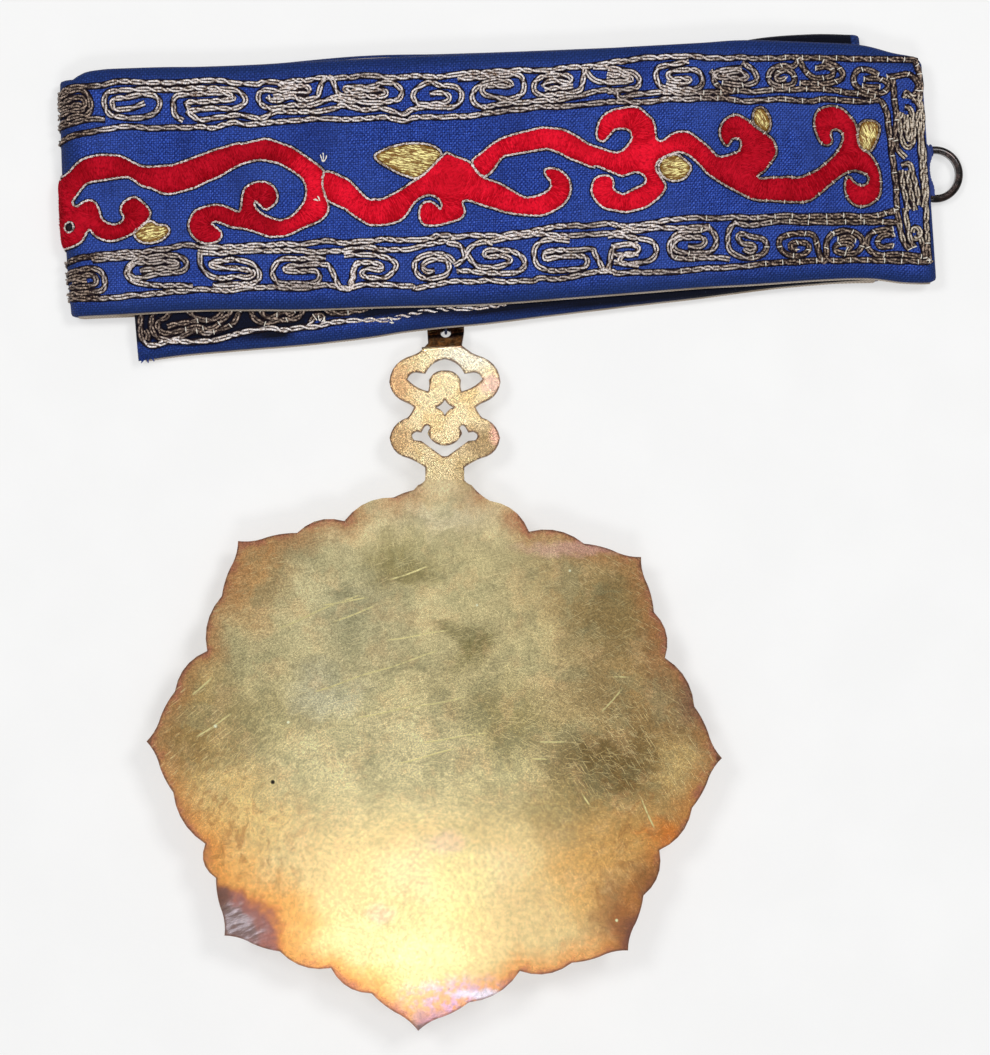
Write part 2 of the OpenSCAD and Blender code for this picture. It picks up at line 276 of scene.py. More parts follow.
low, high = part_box("badge")
for axis in (0, 1):
    count = int((high[axis] - low[axis]) / (grid_pitch * MM))
    for cut in range(1, count + 1):
        spot, across = Vector(), Vector()
        spot[axis] = low[axis] + (cut - grid_shift) * grid_pitch * MM
        across[axis] = 1
        bmesh.ops.bisect_plane(sheet, geom=sheet.verts[:] + sheet.edges[:] + sheet.faces[:],
                               dist=weld * MM, plane_co=spot, plane_no=across)
sheet.normal_update()
rim_layer = sheet.verts.layers.float.new("rim")
for corner in sheet.verts:
    point = corner.co / MM
    corner[rim_layer] = min(rim_finder.find((point.x, point.y, 0))[2], rim_reach)
    # the solder in the bend below the hanger is filed flush with both sheets
    if bend_y - bead_half_width < point.y < bend_y + bead_half_width and point.z > bend_z - 0.1:
        falling = plate_fall if point.y < bend_y else neck_fall
        corner.co.z = (bend_z - falling * (point.y - bend_y)) * MM
    if any(face.normal.z > upright for face in corner.link_faces):
        swell = noise.noise(Vector((point.x / wave_length, point.y / wave_length, 3.0)))
        corner.co.z += wave_height * swell * MM
for face in sheet.faces:
    face.smooth = True
for line in sheet.edges:
    on_back = max(face.normal.z for face in line.link_faces) > upright
    line.smooth = line.calc_face_angle(0.0) < math.radians(back_crease if on_back else side_crease)
badge_mesh = bpy.data.meshes.new("badge_back")
sheet.to_mesh(badge_mesh)
sheet.free()
badge = put("badge_back", badge_mesh)


def far_from(place, x, y, wide, tall):
    """How far a place is from a point of the plan, counted in half widths and half heights."""
    inputs = {"Vector": place, "Location": (-x / wide, -y / tall, 0), "Scale": (1 / wide, 1 / tall, 0)}
    fitted = wired("ShaderNodeMapping", inputs)[0]
    return wired("ShaderNodeVectorMath", {0: fitted}, operation="LENGTH")["Value"]


def kept_value(tree, name):
    """A float that the mesh keeps at each point."""
    return add(tree, "ShaderNodeAttribute", attribute_name=name).outputs["Fac"]


def near_spot(place, x, y, wide, tall, strength, outer=1.25, inner=0.3):
    """A soft patch round a point of the plan: strength at its middle, 0 outside."""
    return step(far_from(place, x, y, wide, tall), outer, inner, 0.0, strength)


def drifted(place, scale, reach):
    """The place pushed about by noise, so that patches get ragged borders."""
    drift = vectors("SUBTRACT", grain(place, scale, 3.0, 0.55, colour=True), (0.5, 0.5, 0.5))
    return vectors("ADD", place, scaled(drift, reach))


def on_brass(red, green, blue):
    """A colour as it is seen on the metal, which mirrors a room about half as bright as white."""
    return linear(red, green, blue, 1 / 0.52)


def patched(colour, place, patches):
    """Soft patches on a colour: middle x, middle y, half width, half height, strength, colour."""
    for x, y, wide, tall, strength, shown in patches:
        shown = on_brass(*shown) if isinstance(shown, tuple) else shown
        colour = blend(near_spot(place, x, y, wide, tall, strength), colour, shown)
    return colour


gilt, tree, shader, place = new_finish("worn_gilt_brass")
left_right, up_down, height = axes(place)
wandering = drifted(drifted(place, 0.09, 12.0), 0.4, 4.0)

# the worn gilding, from its pale top to its warm foot
colour = blend(step(up_down, -6, 5), on_brass(172, 160, 118), on_brass(190, 174, 136))
colour = blend(step(up_down, -42, -62), colour, on_brass(190, 166, 118))

tints = [
    (30, -34, 26, 46, 0.9, (142, 114, 72)),
    (-62, -36, 14, 26, 0.9, (152, 128, 82)),
    (-30, -14, 20, 18, 0.5, (176, 168, 132)),
    (-24, -42, 22, 12, 0.4, (190, 180, 142)),
    (-20, -7, 8, 7, 0.85, (122, 112, 72)),
    (-31, -15, 7, 7, 0.6, (150, 146, 114)),
    (-8, -21, 4.5, 6, 0.8, (108, 100, 62)),
    (5, -17, 8, 5, 0.6, (184, 166, 120)),
    (0, -35, 11, 8, 0.75, (128, 116, 76)),
    (-34, -30, 9, 6, 0.5, (168, 168, 146)),
    (18, -43, 11, 8, 0.8, (104, 86, 50)),
    (10, -50, 8, 6, 0.6, (136, 116, 72)),
    (12, -9, 14, 9, 0.7, (150, 126, 86)),
    (19, -14, 11, 9, 0.7, (124, 104, 66)),
    (-47, -8, 8, 11, 0.9, (158, 120, 76)),
    (-62, -38, 7, 12, 0.6, (134, 108, 66)),
    (-48, -36, 8, 7, 0.5, (146, 134, 92)),
    (30, -20, 7, 16, 0.8, (122, 88, 58)),
    (31, -44, 7, 7, 0.8, (190, 162, 106)),
    (-52, -52, 14, 10, 0.8, (190, 160, 104)),
    (-54, -61, 8, 9, 0.75, (190, 140, 76)),
    (-44, -70, 12, 7, 0.7, (190, 140, 76)),
    (20, -62, 16, 14, 0.8, (186, 142, 80)),
    (27, -56, 4, 3, 0.8, (186, 116, 54)),
    (22, -72, 8, 10, 0.9, (122, 80, 54)),
    (-12, -62, 14, 6, 0.6, (190, 172, 134)),
    (-22, -76, 16, 9, 0.8, (190, 178, 126)),
    (-10, -64, 6, 9, 0.6, (190, 176, 120)),
    (-34, -83, 14, 4, 0.6, (190, 150, 84)),
    (-13, 3, 8, 4, 0.6, (190, 180, 148)),
]
colour = patched(colour, wandering, tints)

# mottling: grey-green, warm and dim clouds of a few millimetres, fainter towards the foot
calm = step(up_down, -38, -60, 1.0, 0.25)
cloud = grain(wandering, 0.15, 5.0, 0.55)
cloud = sums("MULTIPLY", calm, step(cloud, 0.46, 0.6, 0.0, 0.42))
colour = blend(cloud, colour, on_brass(136, 132, 98))
warm_cloud = grain(drifted(place, 0.2, 3.0), 0.2, 5.0, 0.6)
colour = blend(step(warm_cloud, 0.5, 0.66, 0.0, 0.3), colour, on_brass(190, 160, 116))
dim_cloud = step(grain(wandering, 0.11, 5.0, 0.6), 0.36, 0.64, -0.2, 0.12)
cloudy = sums("ADD", 1.0, sums("MULTIPLY", calm, dim_cloud))
colour = dimmed(colour, cloudy)

# heat tints along the rim, brown above and orange below
rim_near = kept_value(tree, "rim")
ragged = sums("MULTIPLY", grain(place, 0.3, 5.0, 0.65), 5.0)
edge_near = sums("ADD", rim_near, sums("SUBTRACT", 2.5, ragged))
on_plate = step(up_down, 10, 4)
low_rim = step(up_down, -38, -56)
rim_tone = blend(low_rim, on_brass(154, 108, 68), on_brass(184, 118, 58))
browning = sums("MULTIPLY", step(edge_near, 5.5, 0.0, 0.0, 0.75), on_plate)
colour = blend(browning, colour, rim_tone)
violet_side = sums("MULTIPLY", step(edge_near, 1.5, -0.4, 0.0, 0.85), on_plate)
colour = blend(violet_side, colour, on_brass(146, 92, 74))

# brown streaks run down through the orange at both sides of the foot
streaks = grain(stretched(wandering, (1.3, 0.3, 1), 24), 0.5, 5.0, 0.65)
beside_foot = sums("MAXIMUM", near_spot(place, -52, -58, 16, 20, 0.55),
                   near_spot(place, 24, -62, 13, 22, 0.5))
colour = blend(sums("MULTIPLY", beside_foot, step(streaks, 0.47, 0.62)), colour, on_brass(136, 92, 50))

# the tints ring the burnt lower left point, and the lowest point is lilac and pink
burnt = far_from(drifted(place, 0.35, 7.0), -55.4, -74.6, 11.5, 8.4)
streaky = grain(stretched(place, (0.35, 1.7, 1), -18), 1.0, 3.0, 0.6)
ash = blend(step(streaky, 0.36, 0.66), on_brass(98, 82, 80), on_brass(148, 140, 144))
for outer, inner, strength, shown in (
        (2.1, 1.2, 0.7, on_brass(186, 132, 70)), (1.35, 1.08, 0.75, on_brass(158, 96, 58)),
        (1.2, 0.95, 0.75, on_brass(112, 74, 80)), (1.02, 0.7, 0.9, ash)):
    colour = blend(step(burnt, outer, inner, 0.0, strength), colour, shown)
close_drift = drifted(place, 0.45, 3.0)
flushed = step(grain(place, 0.5, 4.0, 0.6), 0.4, 0.6)
flush = blend(flushed, on_brass(190, 138, 104), on_brass(172, 138, 168))
colour = patched(colour, close_drift, [
    (-9, -85.5, 12, 4.5, 0.75, flush), (-5.5, -84.6, 7, 1.1, 0.9, (182, 176, 186)),
    (-14, -89.5, 5, 2.4, 0.7, (150, 116, 132)), (-16.4, -91.2, 2.6, 1.8, 0.9, (104, 96, 100)),
    (-53.4, -67.4, 2.6, 3.6, 0.8, (82, 62, 54)), (12, -3.2, 12, 1.6, 0.5, (190, 148, 140)),
    (3, 1.6, 5, 2.2, 0.6, (150, 96, 70)), (33, -31, 3.5, 5, 0.7, (108, 82, 64)),
    (24, -73.5, 6, 5, 0.9, (92, 62, 56)), (25, -65, 4, 7, 0.7, (118, 80, 52)),
    (29, -56, 2.2, 2.6, 0.8, (186, 112, 52)), (-24, -70, 3, 2.4, 0.35, (180, 140, 136)),
    (-12, -57, 4, 2.5, 0.3, (180, 142, 140)),
])

# the hanger is warm and pale with brown heat stains, and its bent tab is painted almost black, a
# painted shade and painted dark reflection from under the band
hanger_stain = step(grain(place, 0.22, 4.0, 0.6), 0.42, 0.62)
hanger_tone = blend(hanger_stain, on_brass(190, 170, 134), on_brass(182, 156, 114))
hanger_tone = patched(hanger_tone, close_drift, [
    (-22, 27, 5, 6, 0.8, (174, 134, 96)), (-22, 17, 5, 5, 0.8, (158, 126, 88)),
    (-5, 16, 5, 4, 0.85, (128, 106, 74)), (-3.5, 27, 3, 2.4, 0.8, (190, 152, 142)),
    (-2.5, 18, 1.6, 3, 0.7, (190, 140, 128)), (-8, 11, 4, 3.5, 0.7, (146, 124, 84)),
    (-14, 10, 4, 4, 0.5, (180, 162, 122)), (-8, 32, 7, 4, 0.8, (190, 184, 166)),
])
colour = blend(step(up_down, 7.0, 9.5), colour, hanger_tone)
# painted shade: the tab under the band's edge is darkened, most of all towards its end
painted_tab_shade = blend(step(grain(place, 0.7, 4.0), 0.35, 0.65), on_brass(70, 44, 26), on_brass(138, 92, 50))
painted_tab_shade = blend(step(up_down, 34.0, 37.5), painted_tab_shade, on_brass(46, 30, 22))
colour = blend(step(up_down, 33.4, 34.0), colour, painted_tab_shade)

# dark thin outline where the sheet was sheared; on the hanger a darker line is also painted shade of
# the sheet's thickness at its holes and edges
outline_gap = step(grain(place, 0.5, 3.0), 0.35, 0.55, 0.35, 0.85)
worn_edge = sums("MULTIPLY", step(rim_near, 0.55, 0.1), outline_gap)
colour = blend(worn_edge, colour, on_brass(92, 64, 52))
# partly the dark cut edge, partly painted shade along the hanger's holes and edges
sheared_edge_and_shade = sums("MULTIPLY", step(rim_near, 0.32, 0.1, 0.0, 0.6), step(up_down, 9.0, 12.0))
colour = blend(sheared_edge_and_shade, colour, on_brass(52, 36, 28))

# scouring: grains of about a pixel of wear, and short strokes whose lie changes over the plate
speckle = grain(place, 3.3, 2.0, 0.6)
flecks = sums("ADD", 1.0, sums("MULTIPLY", calm, step(speckle, 0.34, 0.66, -0.2, 0.18)))
colour = dimmed(colour, flecks)
hanger_grain = step(grain(place, 2.8, 2.0, 0.6), 0.36, 0.64, -0.24, 0.18)
hanger_grain = sums("MULTIPLY", step(up_down, 8.0, 11.0), hanger_grain)
colour = dimmed(colour, sums("ADD", 1.0, hanger_grain))
coarse = grain(place, 1.3, 2.0, 0.6)
colour = dimmed(colour, step(coarse, 0.36, 0.64, 0.93, 1.07))

# direction, then the region's middle x, middle y, half width, half height and strength
strokes, dark_strokes = 0.0, 0.0
for direction, x, y, wide, tall, strength in (
        (14, -22, -14, 36, 26, 1.0), (26, -12, -30, 44, 34, 0.9), (-6, -4, -40, 44, 20, 0.9),
        (38, -52, -34, 20, 24, 1.0), (57, -46, -52, 24, 20, 0.9), (-32, 12, -22, 34, 30, 0.8),
        (-58, 24, -50, 20, 26, 0.9), (84, -16, -66, 34, 22, 0.9), (-80, -16, 12, 30, 26, 0.8),
        (8, -18, 22, 20, 20, 0.9)):
    lines = grain(stretched(place, (0.42, 5.6, 1), -direction), 1.0, 1.0, 0.3)
    region = near_spot(wandering, x, y, wide, tall, strength, 1.2, 0.6)
    strokes = sums("MAXIMUM", strokes, sums("MULTIPLY", step(lines, 0.66, 0.72), region))
    dark_strokes = sums("MAXIMUM", dark_strokes, sums("MULTIPLY", step(lines, 0.34, 0.27), region))
dark_strokes = sums("MULTIPLY", dark_strokes, sums("MULTIPLY", calm, 0.14))
colour = blend(dark_strokes, colour, on_brass(104, 84, 50))
colour = blend(sums("MULTIPLY", strokes, sums("MULTIPLY", calm, 0.55)), colour, on_brass(190, 176, 132))

# single long scratches: start x, start y, end x, end y
long_scratches = [
    (-43.2, -18, -27.4, -11.4), (-35.2, -13.6, -25.9, -12.2), (-33, -16.7, -24.7, -13.7),
    (-36.5, -29.5, -13.2, -21.9), (-28.9, -34.2, -8.2, -30.4), (-21.3, -42.6, -10, -39.8),
    (-23.3, -20, -11.2, -18.2), (-22.7, -9, -14.9, -6.4), (-59, -30.4, -54.4, -26.4),
    (-58.1, -37.9, -50.8, -33.2), (-17, -38.7, -4, -36.9), (4.2, -38.5, 10.1, -38.5),
    (18, -26.6, 21.6, -26.6), (3, -41.6, 7.3, -41.6), (23.5, -48.4, 26.2, -54.8),
    (16, -33.4, 20.4, -28.6), (12.5, -47.6, 14.8, -50.8),
]
scratch_fade = 1.6
scratched = 0.0
for x0, y0, x1, y1 in long_scratches:
    half = math.hypot(x1 - x0, y1 - y0) / 2
    inputs = {"Vector": vectors("SUBTRACT", place, (x0, y0, 0)), "Angle": -math.atan2(y1 - y0, x1 - x0)}
    turned = wired("ShaderNodeVectorRotate", inputs, rotation_type="Z_AXIS")[0]
    along, off, height = axes(turned)
    bend = sums("MULTIPLY", sums("SINE", sums("MULTIPLY", along, 0.5)), 0.12)
    close = step(sums("ABSOLUTE", sums("ADD", off, bend)), 0.2, 0.08)
    within = step(sums("ABSOLUTE", sums("SUBTRACT", along, half)), half, half - scratch_fade)
    scratched = sums("MAXIMUM", scratched, sums("MULTIPLY", close, within))
scratched = sums("MULTIPLY", scratched, step(coarse, 0.36, 0.5, 0.4, 1.0))
strokes = sums("MAXIMUM", strokes, scratched)
colour = blend(scratched, colour, on_brass(190, 180, 128))

# one black pit and a few bright nicks
for x, y, size, shown in ((-43.7, -45.9, 0.5, (30, 26, 22)), (-54.2, -35.7, 0.4, (220, 206, 160)),
                          (-40.9, -35, 0.35, (220, 206, 160)), (-6.4, -13.6, 0.3, (220, 206, 160)),
                          (10.6, -7.3, 0.3, (220, 206, 160)), (19.1, -71.1, 0.35, (220, 200, 150))):
    colour = blend(near_spot(place, x, y, size, size, 1.0, 1.0, 0.5), colour, on_brass(*shown))

dull = step(speckle, 0.3, 0.7, 0.13, 0.19)
fill(shader, {"Base Color": colour, "Metallic": 1.0,
              "Roughness": sums("SUBTRACT", dull, sums("MULTIPLY", strokes, 0.04))})
bump(shader, sums("ADD", speckle, sums("MULTIPLY", strokes, -0.5)), 0.012, 0.25)
badge_mesh.materials.clear()
badge_mesh.materials.append(gilt)
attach(badge, "root")
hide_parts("badge")

# ---------------------------------------------------------------------------------------------
# Neckband: one long strip of blue woven wool, folded in three like a letter. The end over
# the right fold lies lowest but one, and the end over the left fold lies on top.
# It is drawn from its upper and lower edges, station by station, as the solid is.

cloth_thick = 1.2
edge_share = 0.2
left_bow = 0.5
floor_part_z = 0.6
under_wing_z = 2.91
top_wing_z = 5.09
fold_turns = 26
station_pitch = 1.3
end_squeeze = {0: 0.35, 1: 0.8}

# upper x, upper y, upper lift, lower x, lower y, lower lift, rise
under_wing_rows = [
    (-72.2, 75.9, 0, -68.7, 31.2, -0.9, 0), (-63.6, 77.5, 0, -60.1, 32.4, -0.7, 0),
    (-52.0, 78.6, 0, -48.7, 33.4, -0.4, 0), (-42.0, 79.3, 0, -38.8, 34.2, -0.1, 0),
    (-30.1, 80.6, 0, -27.1, 35.5, 0.2, 0), (-23.0, 81.6, 0, -20.0, 36.6, 0.6, 0),
    (-15.2, 82.4, 0, -12.2, 37.5, 0.9, 0), (-8.4, 83.2, 0, -5.4, 38.1, 0.6, 0),
    (2.5, 84.5, 0, 5.0, 39.4, 0.1, 0), (17.6, 86.3, 0, 19.8, 41.2, 0, 0),
    (32.6, 88.0, 0, 34.5, 42.9, 0, 0), (45.0, 90.5, 0, 46.5, 44.5, 0, 0),
    (55.0, 91.3, 0, 56.8, 45.5, 0, 0), (62.1, 91.2, 0, 66.4, 46.2, 0, 0),
]
floor_part_rows = [
    (62.1, 91.2, 0, 66.4, 45.9, 0, 0), (55.0, 91.3, 0, 57.0, 45.6, 0, 0),
    (34.5, 89.8, 0, 35.4, 44.2, 0, 0), (5.1, 88.5, 0, 6.0, 42.8, 0, 0),
    (-12.3, 87.9, 0, -11.7, 42.0, 0, 0), (-29.7, 87.4, 0, -29.3, 41.2, 0, 0),
    (-57.2, 84.7, 0, -56.4, 40.1, 0, 0), (-75.5, 83.3, 0, -74.4, 39.4, 0, 0),
    (-80.6, 82.4, 0, -78.5, 39.2, 0, 0),
]
top_wing_rows = [
    (-80.6, 82.8, 0, -78.5, 39.4, 0, -0.7), (-78.5, 84.1, 0, -76.8, 39.5, 0, -0.7),
    (-75.0, 84.7, -0.2, -74.2, 39.6, 0, -0.5), (-70.8, 84.9, -0.4, -70.5, 39.8, 0, -0.2),
    (-64.0, 85.1, -0.6, -63.5, 40.2, 0, 0), (-57.2, 85.2, -0.8, -56.8, 40.5, 0, 0),
    (-46.7, 85.6, -0.8, -46.4, 40.6, 0, 0), (-38.8, 86.1, -0.8, -38.5, 40.6, 0, 0),
    (-24.2, 86.8, -0.6, -23.8, 41.1, 0, 0), (-5.9, 87.6, -0.4, -5.5, 41.6, 0, 0),
    (12.1, 88.3, -0.2, 12.5, 42.9, 0, 0), (23.5, 88.9, 0, 24.0, 43.8, 0, 0),
    (34.5, 89.5, 0, 35.2, 44.7, 0, 0), (42.9, 90.0, 0, 44.0, 45.2, 0, 0),
    (55.7, 89.6, 0, 57.2, 46.1, 0, 0), (64.0, 89.1, 0, 65.6, 46.3, 0, 0),
    (69.8, 87.7, 0, 71.8, 45.6, -0.1, -0.3), (74.0, 86.9, 0, 76.9, 45.6, -0.2, -0.8),
    (75.2, 85.6, 0, 77.9, 46.4, -0.2, -1.1),
]


def smooth_line(points, pitch, closed=False):
    """Points at about that pitch along a soft curve through the given ones."""
    points = [Vector(point) for point in points]
    last = len(points) if closed else len(points) - 1
    line = []
    for i in range(last):
        if closed:
            a, b, c, d = (points[(i + k) % len(points)] for k in (-1, 0, 1, 2))
        else:
            a, b, c, d = (points[min(max(i + k, 0), last)] for k in (-1, 0, 1, 2))
        count = max(1, round((c - b).length / pitch))
        for k in range(count):
            t = k / count
            line.append(0.5 * (2 * b + (c - a) * t + (2 * a - 5 * b + 4 * c - d) * t * t
                               + (3 * b - a - 3 * c + d) * t ** 3))
    if not closed:
        line.append(points[-1])
    return line


def wing(rows, middle_z, turned):
    """Stations along one flat part: upper and lower end, lifts, height, turn of the face, bow."""
    return [(ux, uy, lx, ly, up, down, middle_z + height, turned, 0.0)
            for ux, uy, up, lx, ly, down, height in smooth_line(rows, station_pitch)]


def folded(first, last, start_turn, bow, t):
    """The station that is a share t of the way round the fold between two parts."""
    radius = abs(last[6] - first[6]) / 2
    turned = start_turn - 180 * t
    out = radius * math.cos(math.radians(turned))
    station = [a + (b - a) * t for a, b in zip(first, last)]
    station[0] += out
    station[2] += out
    station[6] = (first[6] + last[6]) / 2 + radius * math.sin(math.radians(turned))
    station[7] = turned
    station[8] = -bow * math.sin(math.pi * t)
    return tuple(station)


def fold(first, last, start_turn, bow):
    """Stations round a fold, from the last one of a part to the first one of the next."""
    return [folded(first, last, start_turn, bow, number / fold_turns)
            for number in range(1, fold_turns)]


under_wing = wing(under_wing_rows, under_wing_z, 90)
floor_part = wing(floor_part_rows, floor_part_z, -90)
top_wing = wing(top_wing_rows, top_wing_z, -270)
stations = (under_wing + fold(under_wing[-1], floor_part[0], 90, 0) + floor_part
            + fold(floor_part[-1], top_wing[0], -90, left_bow) + top_wing)


def band_point(station, share, out):
    """A point of the band: share is 0 at the upper edge and 1 at the lower, out is off its middle."""
    ux, uy, lx, ly, up, down, height, turned, bow = station
    held = min(max(share, 0), 1)
    lift = up * max(0, 1 - held / edge_share) ** 2 + down * max(0, 1 - (1 - held) / edge_share) ** 2
    turned = math.radians(turned)
    return Vector((ux + (lx - ux) * share + out * math.cos(turned) + bow * 4 * held * (1 - held),
                   uy + (ly - uy) * share,
                   height + lift + out * math.sin(turned)))


def pucker(point):
    """How much the embroidery draws the cloth up or down at a place."""
    broad = noise.noise(Vector((point.x / 17, point.y / 26, 1.7)))
    close = noise.noise(Vector((point.x / 5.5, point.y / 7, 8.2)))
    return 0.16 * broad + 0.07 * close


def band_mesh(name, stations, out, thick, low_share, high_share, rows):
    """A closed strip of cloth along the stations, with rounded edges and ends, and a weave map."""
    half = thick / 2
    width = (Vector(stations[0][0:2]) - Vector(stations[0][2:4])).length
    spread = high_share - low_share
    under_rows = rows // 3
    side = [half * math.cos(math.pi * k / 4) for k in (1, 2, 3)]
    ring = [(low_share + spread * k / rows, half) for k in range(rows + 1)]
    ring += [(high_share, height) for height in side]
    ring += [(high_share - spread * k / under_rows, -half) for k in range(under_rows + 1)]
    ring += [(low_share, -height) for height in side]
    # the two long edges are rounded inwards
    shaped = []
    for share, height in ring:
        inset = half / width * (1 - math.sqrt(max(0.0, 1 - (height / half) ** 2)))
        if abs(share - low_share) < 1e-6:
            share = low_share + inset
        elif abs(share - high_share) < 1e-6:
            share = high_share - inset
        shaped.append((share, height))
    mesh = bmesh.new()
    chart = mesh.loops.layers.uv.new("weave")
    rings, places = [], []
    before = band_point(stations[0], 0.5, 0)
    travelled = 0.0
    for number, station in enumerate(stations):
        here = band_point(station, 0.5, 0)
        travelled += (here - before).length
        before = here
        squeeze = end_squeeze.get(min(number, len(stations) - 1 - number), 1.0)
        loop = []
        for share, height in shaped:
            point = band_point(station, share, out + height * squeeze)
            if station[7] != -90:
                point.z += pucker(point) * min(1.0, 0.2 + number / 12)
            loop.append(mesh.verts.new(point * MM))
        rings.append(loop)
        places.append(travelled)
    across = [share * width for share, height in shaped]
    total = len(shaped)
    for i in range(len(rings) - 1):
        for k in range(total):
            j = (k + 1) % total
            spots = ((i, k), (i + 1, k), (i + 1, j), (i, j))
            face = mesh.faces.new([rings[row][column] for row, column in spots])
            for corner, (row, column) in zip(face.loops, spots):
                corner[chart].uv = (places[row], across[column])
    for row, columns in ((0, range(total - 1, -1, -1)), (-1, range(total))):
        face = mesh.faces.new([rings[row][column] for column in columns])
        for corner, column in zip(face.loops, columns):
            corner[chart].uv = (places[row], across[column])
    bmesh.ops.recalc_face_normals(mesh, faces=mesh.faces)
    data = bpy.data.meshes.new(name)
    mesh.to_mesh(data)
    mesh.free()
    data.shade_smooth()
    return put(name, data)


neckband = band_mesh("neckband_cloth", stations, 0, cloth_thick, 0.0, 1.0, 48)

# painted shade: how dark the lower wing is painted where the top wing's edge overhangs it, more so to
# the left
lower_edge = [Vector(station[2:4]) for station in top_wing]
corners = neckband.data.vertices
overhang_shade = [0.0] * len(corners)
for number in range(len(under_wing) * len(corners) // len(stations)):
    point = corners[number].co / MM
    before, after = min(zip(lower_edge, lower_edge[1:]),
                        key=lambda pair: abs((pair[0].x + pair[1].x) / 2 - point.x))
    share = (point.x - before.x) / max(after.x - before.x, 1e-6)
    overhang = point.y - (before.y + (after.y - before.y) * share)
    depth = 2.6 + 3.4 * min(max((-36 - point.x) / 6, 0), 1)
    overhang_shade[number] = 0.97 * min(max(overhang + depth, 0), 1)
neckband.data.attributes.new("overhang_shade", "FLOAT", "POINT").data.foreach_set("value", overhang_shade)

wool, tree, shader, place = new_finish("blue_woven_wool")
chart = add(tree, "ShaderNodeUVMap", uv_map="weave").outputs[0]
thread_pitch = 0.42
twill_pitch = 0.64


def weave(chart, pitch):
    """Over-and-under threads: a height from 0 to 1, and 1 where the lengthwise thread is on top."""
    along, across = (sums("SINE", sums("MULTIPLY", sums("DIVIDE", way, pitch), math.pi))
                     for way in axes(chart)[:2])
    height = sums("MULTIPLY", along, across)
    return sums("ABSOLUTE", height), step(height, -0.25, 0.25)


loose_chart = vectors("ADD", chart, scaled(grain(chart, 0.35, 2.0, colour=True), 0.5))
height, on_top = weave(loose_chart, thread_pitch)
slub = grain(stretched(chart, (0.25, 2.6, 1)), 1.0, 2.0)
slub_across = grain(stretched(chart, (2.6, 0.25, 1)), 1.0, 2.0)
thread = blend(on_top, linear(28, 52, 132), linear(48, 80, 172))
loose = grain(stretched(chart, (2.4, 2.4, 1)), 1.0, 1.0)
light_crossing = sums("MULTIPLY", step(height, 0.6, 0.9), step(loose, 0.5, 0.62, 0.0, 0.5))
thread = blend(light_crossing, thread, linear(96, 122, 214))
pore = sums("MULTIPLY", step(height, 0.45, 0.05), step(loose, 0.62, 0.4, 0.35, 1.0))
thread = blend(pore, thread, linear(4, 14, 72))
diagonal = sums("ADD", axes(loose_chart)[0], sums("MULTIPLY", axes(loose_chart)[1], 0.8))
twill = sums("SINE", sums("MULTIPLY", diagonal, math.tau / twill_pitch))
ribbed = step(axes(place)[0], -20, 50, 0.45, 1.0)
thread = blend(sums("MULTIPLY", step(twill, 0.2, 0.9, 0.0, 0.3), ribbed), thread,
               linear(76, 106, 200))
thread = blend(sums("MULTIPLY", step(twill, -0.2, -0.9, 0.0, 0.42), ribbed), thread,
               linear(8, 20, 90))
thread = blend(1.0, thread, step(slub, 0.3, 0.7, 0.8, 1.2), "MULTIPLY")
thread = blend(1.0, thread, step(slub_across, 0.3, 0.7, 0.84, 1.16), "MULTIPLY")
worn_patch = step(grain(place, 0.06, 3.0), 0.4, 0.68, 0.0, 0.22)
thread = blend(worn_patch, thread, linear(60, 84, 150))
# painted shade: the cloth is darkened along its upper and lower edges and round both folds, where light
# falls off on the curve
across = axes(chart)[1]
edge_painted_shade = sums("MAXIMUM", step(across, 4.5, 0.5), step(across, 41.0, 44.5))
left_right = axes(place)[0]
fold_painted_shade = sums("MAXIMUM", step(left_right, -77.5, -82.0), step(left_right, 74.5, 77.5))
edge_painted_shade = sums("MULTIPLY", sums("MAXIMUM", edge_painted_shade, fold_painted_shade), 0.75)
thread = blend(edge_painted_shade, thread, linear(16, 36, 76))
# painted shade: larger darker blotches stand in for the shade of soft puckers in the cloth
painted_crease_shade = step(grain(stretched(place, (0.11, 0.05, 1)), 1.0, 3.0), 0.55, 0.72, 0.0, 0.4)
thread = blend(painted_crease_shade, thread, linear(22, 38, 96))
# painted shade under the top wing's overhanging edge
thread = blend(kept_value(tree, "overhang_shade"), thread, linear(6, 8, 20))
lint = step(grain(place, 2.2, 3.0, 0.7), 0.68, 0.76, 0.0, 0.4)
thread = blend(lint, thread, linear(120, 140, 190))
fill(shader, {"Base Color": thread, "Roughness": 0.85, "Specular IOR Level": 0.1,
              "Sheen Weight": 0.08, "Sheen Roughness": 0.5})
bump(shader, sums("SUBTRACT", height, pore), 0.1, 0.7)
neckband.data.materials.append(wool)
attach(neckband, "root")
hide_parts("neckband")

# ---------------------------------------------------------------------------------------------
# Lining: thin fawn cotton pressed to the inner face of the band, from end to end of it.
# It peeps out along the lower edges as a pale line.

lining_thick = 0.35
lining_gap = 0.08
lining_from, lining_to = 0.012, 1.006
lining_out = -(cloth_thick / 2 + lining_gap + lining_thick / 2)
lining = band_mesh("band_lining_cloth", stations[2:-2], lining_out, lining_thick,
                   lining_from, lining_to, 24)
cotton, tree, shader, place = new_finish("fawn_cotton")
chart = add(tree, "ShaderNodeUVMap", uv_map="weave").outputs[0]
height, on_top = weave(chart, 0.3)
fawn = blend(on_top, linear(186, 172, 156), linear(216, 202, 188))
fawn = blend(step(grain(place, 0.12, 4.0), 0.45, 0.7, 0.0, 0.6), fawn, linear(150, 130, 104))
fill(shader, {"Base Color": fawn, "Roughness": 0.9, "Specular IOR Level": 0.2})
bump(shader, height, 0.06, 0.7)
lining.data.materials.append(cotton)
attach(lining, "root")
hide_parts("band_lining")

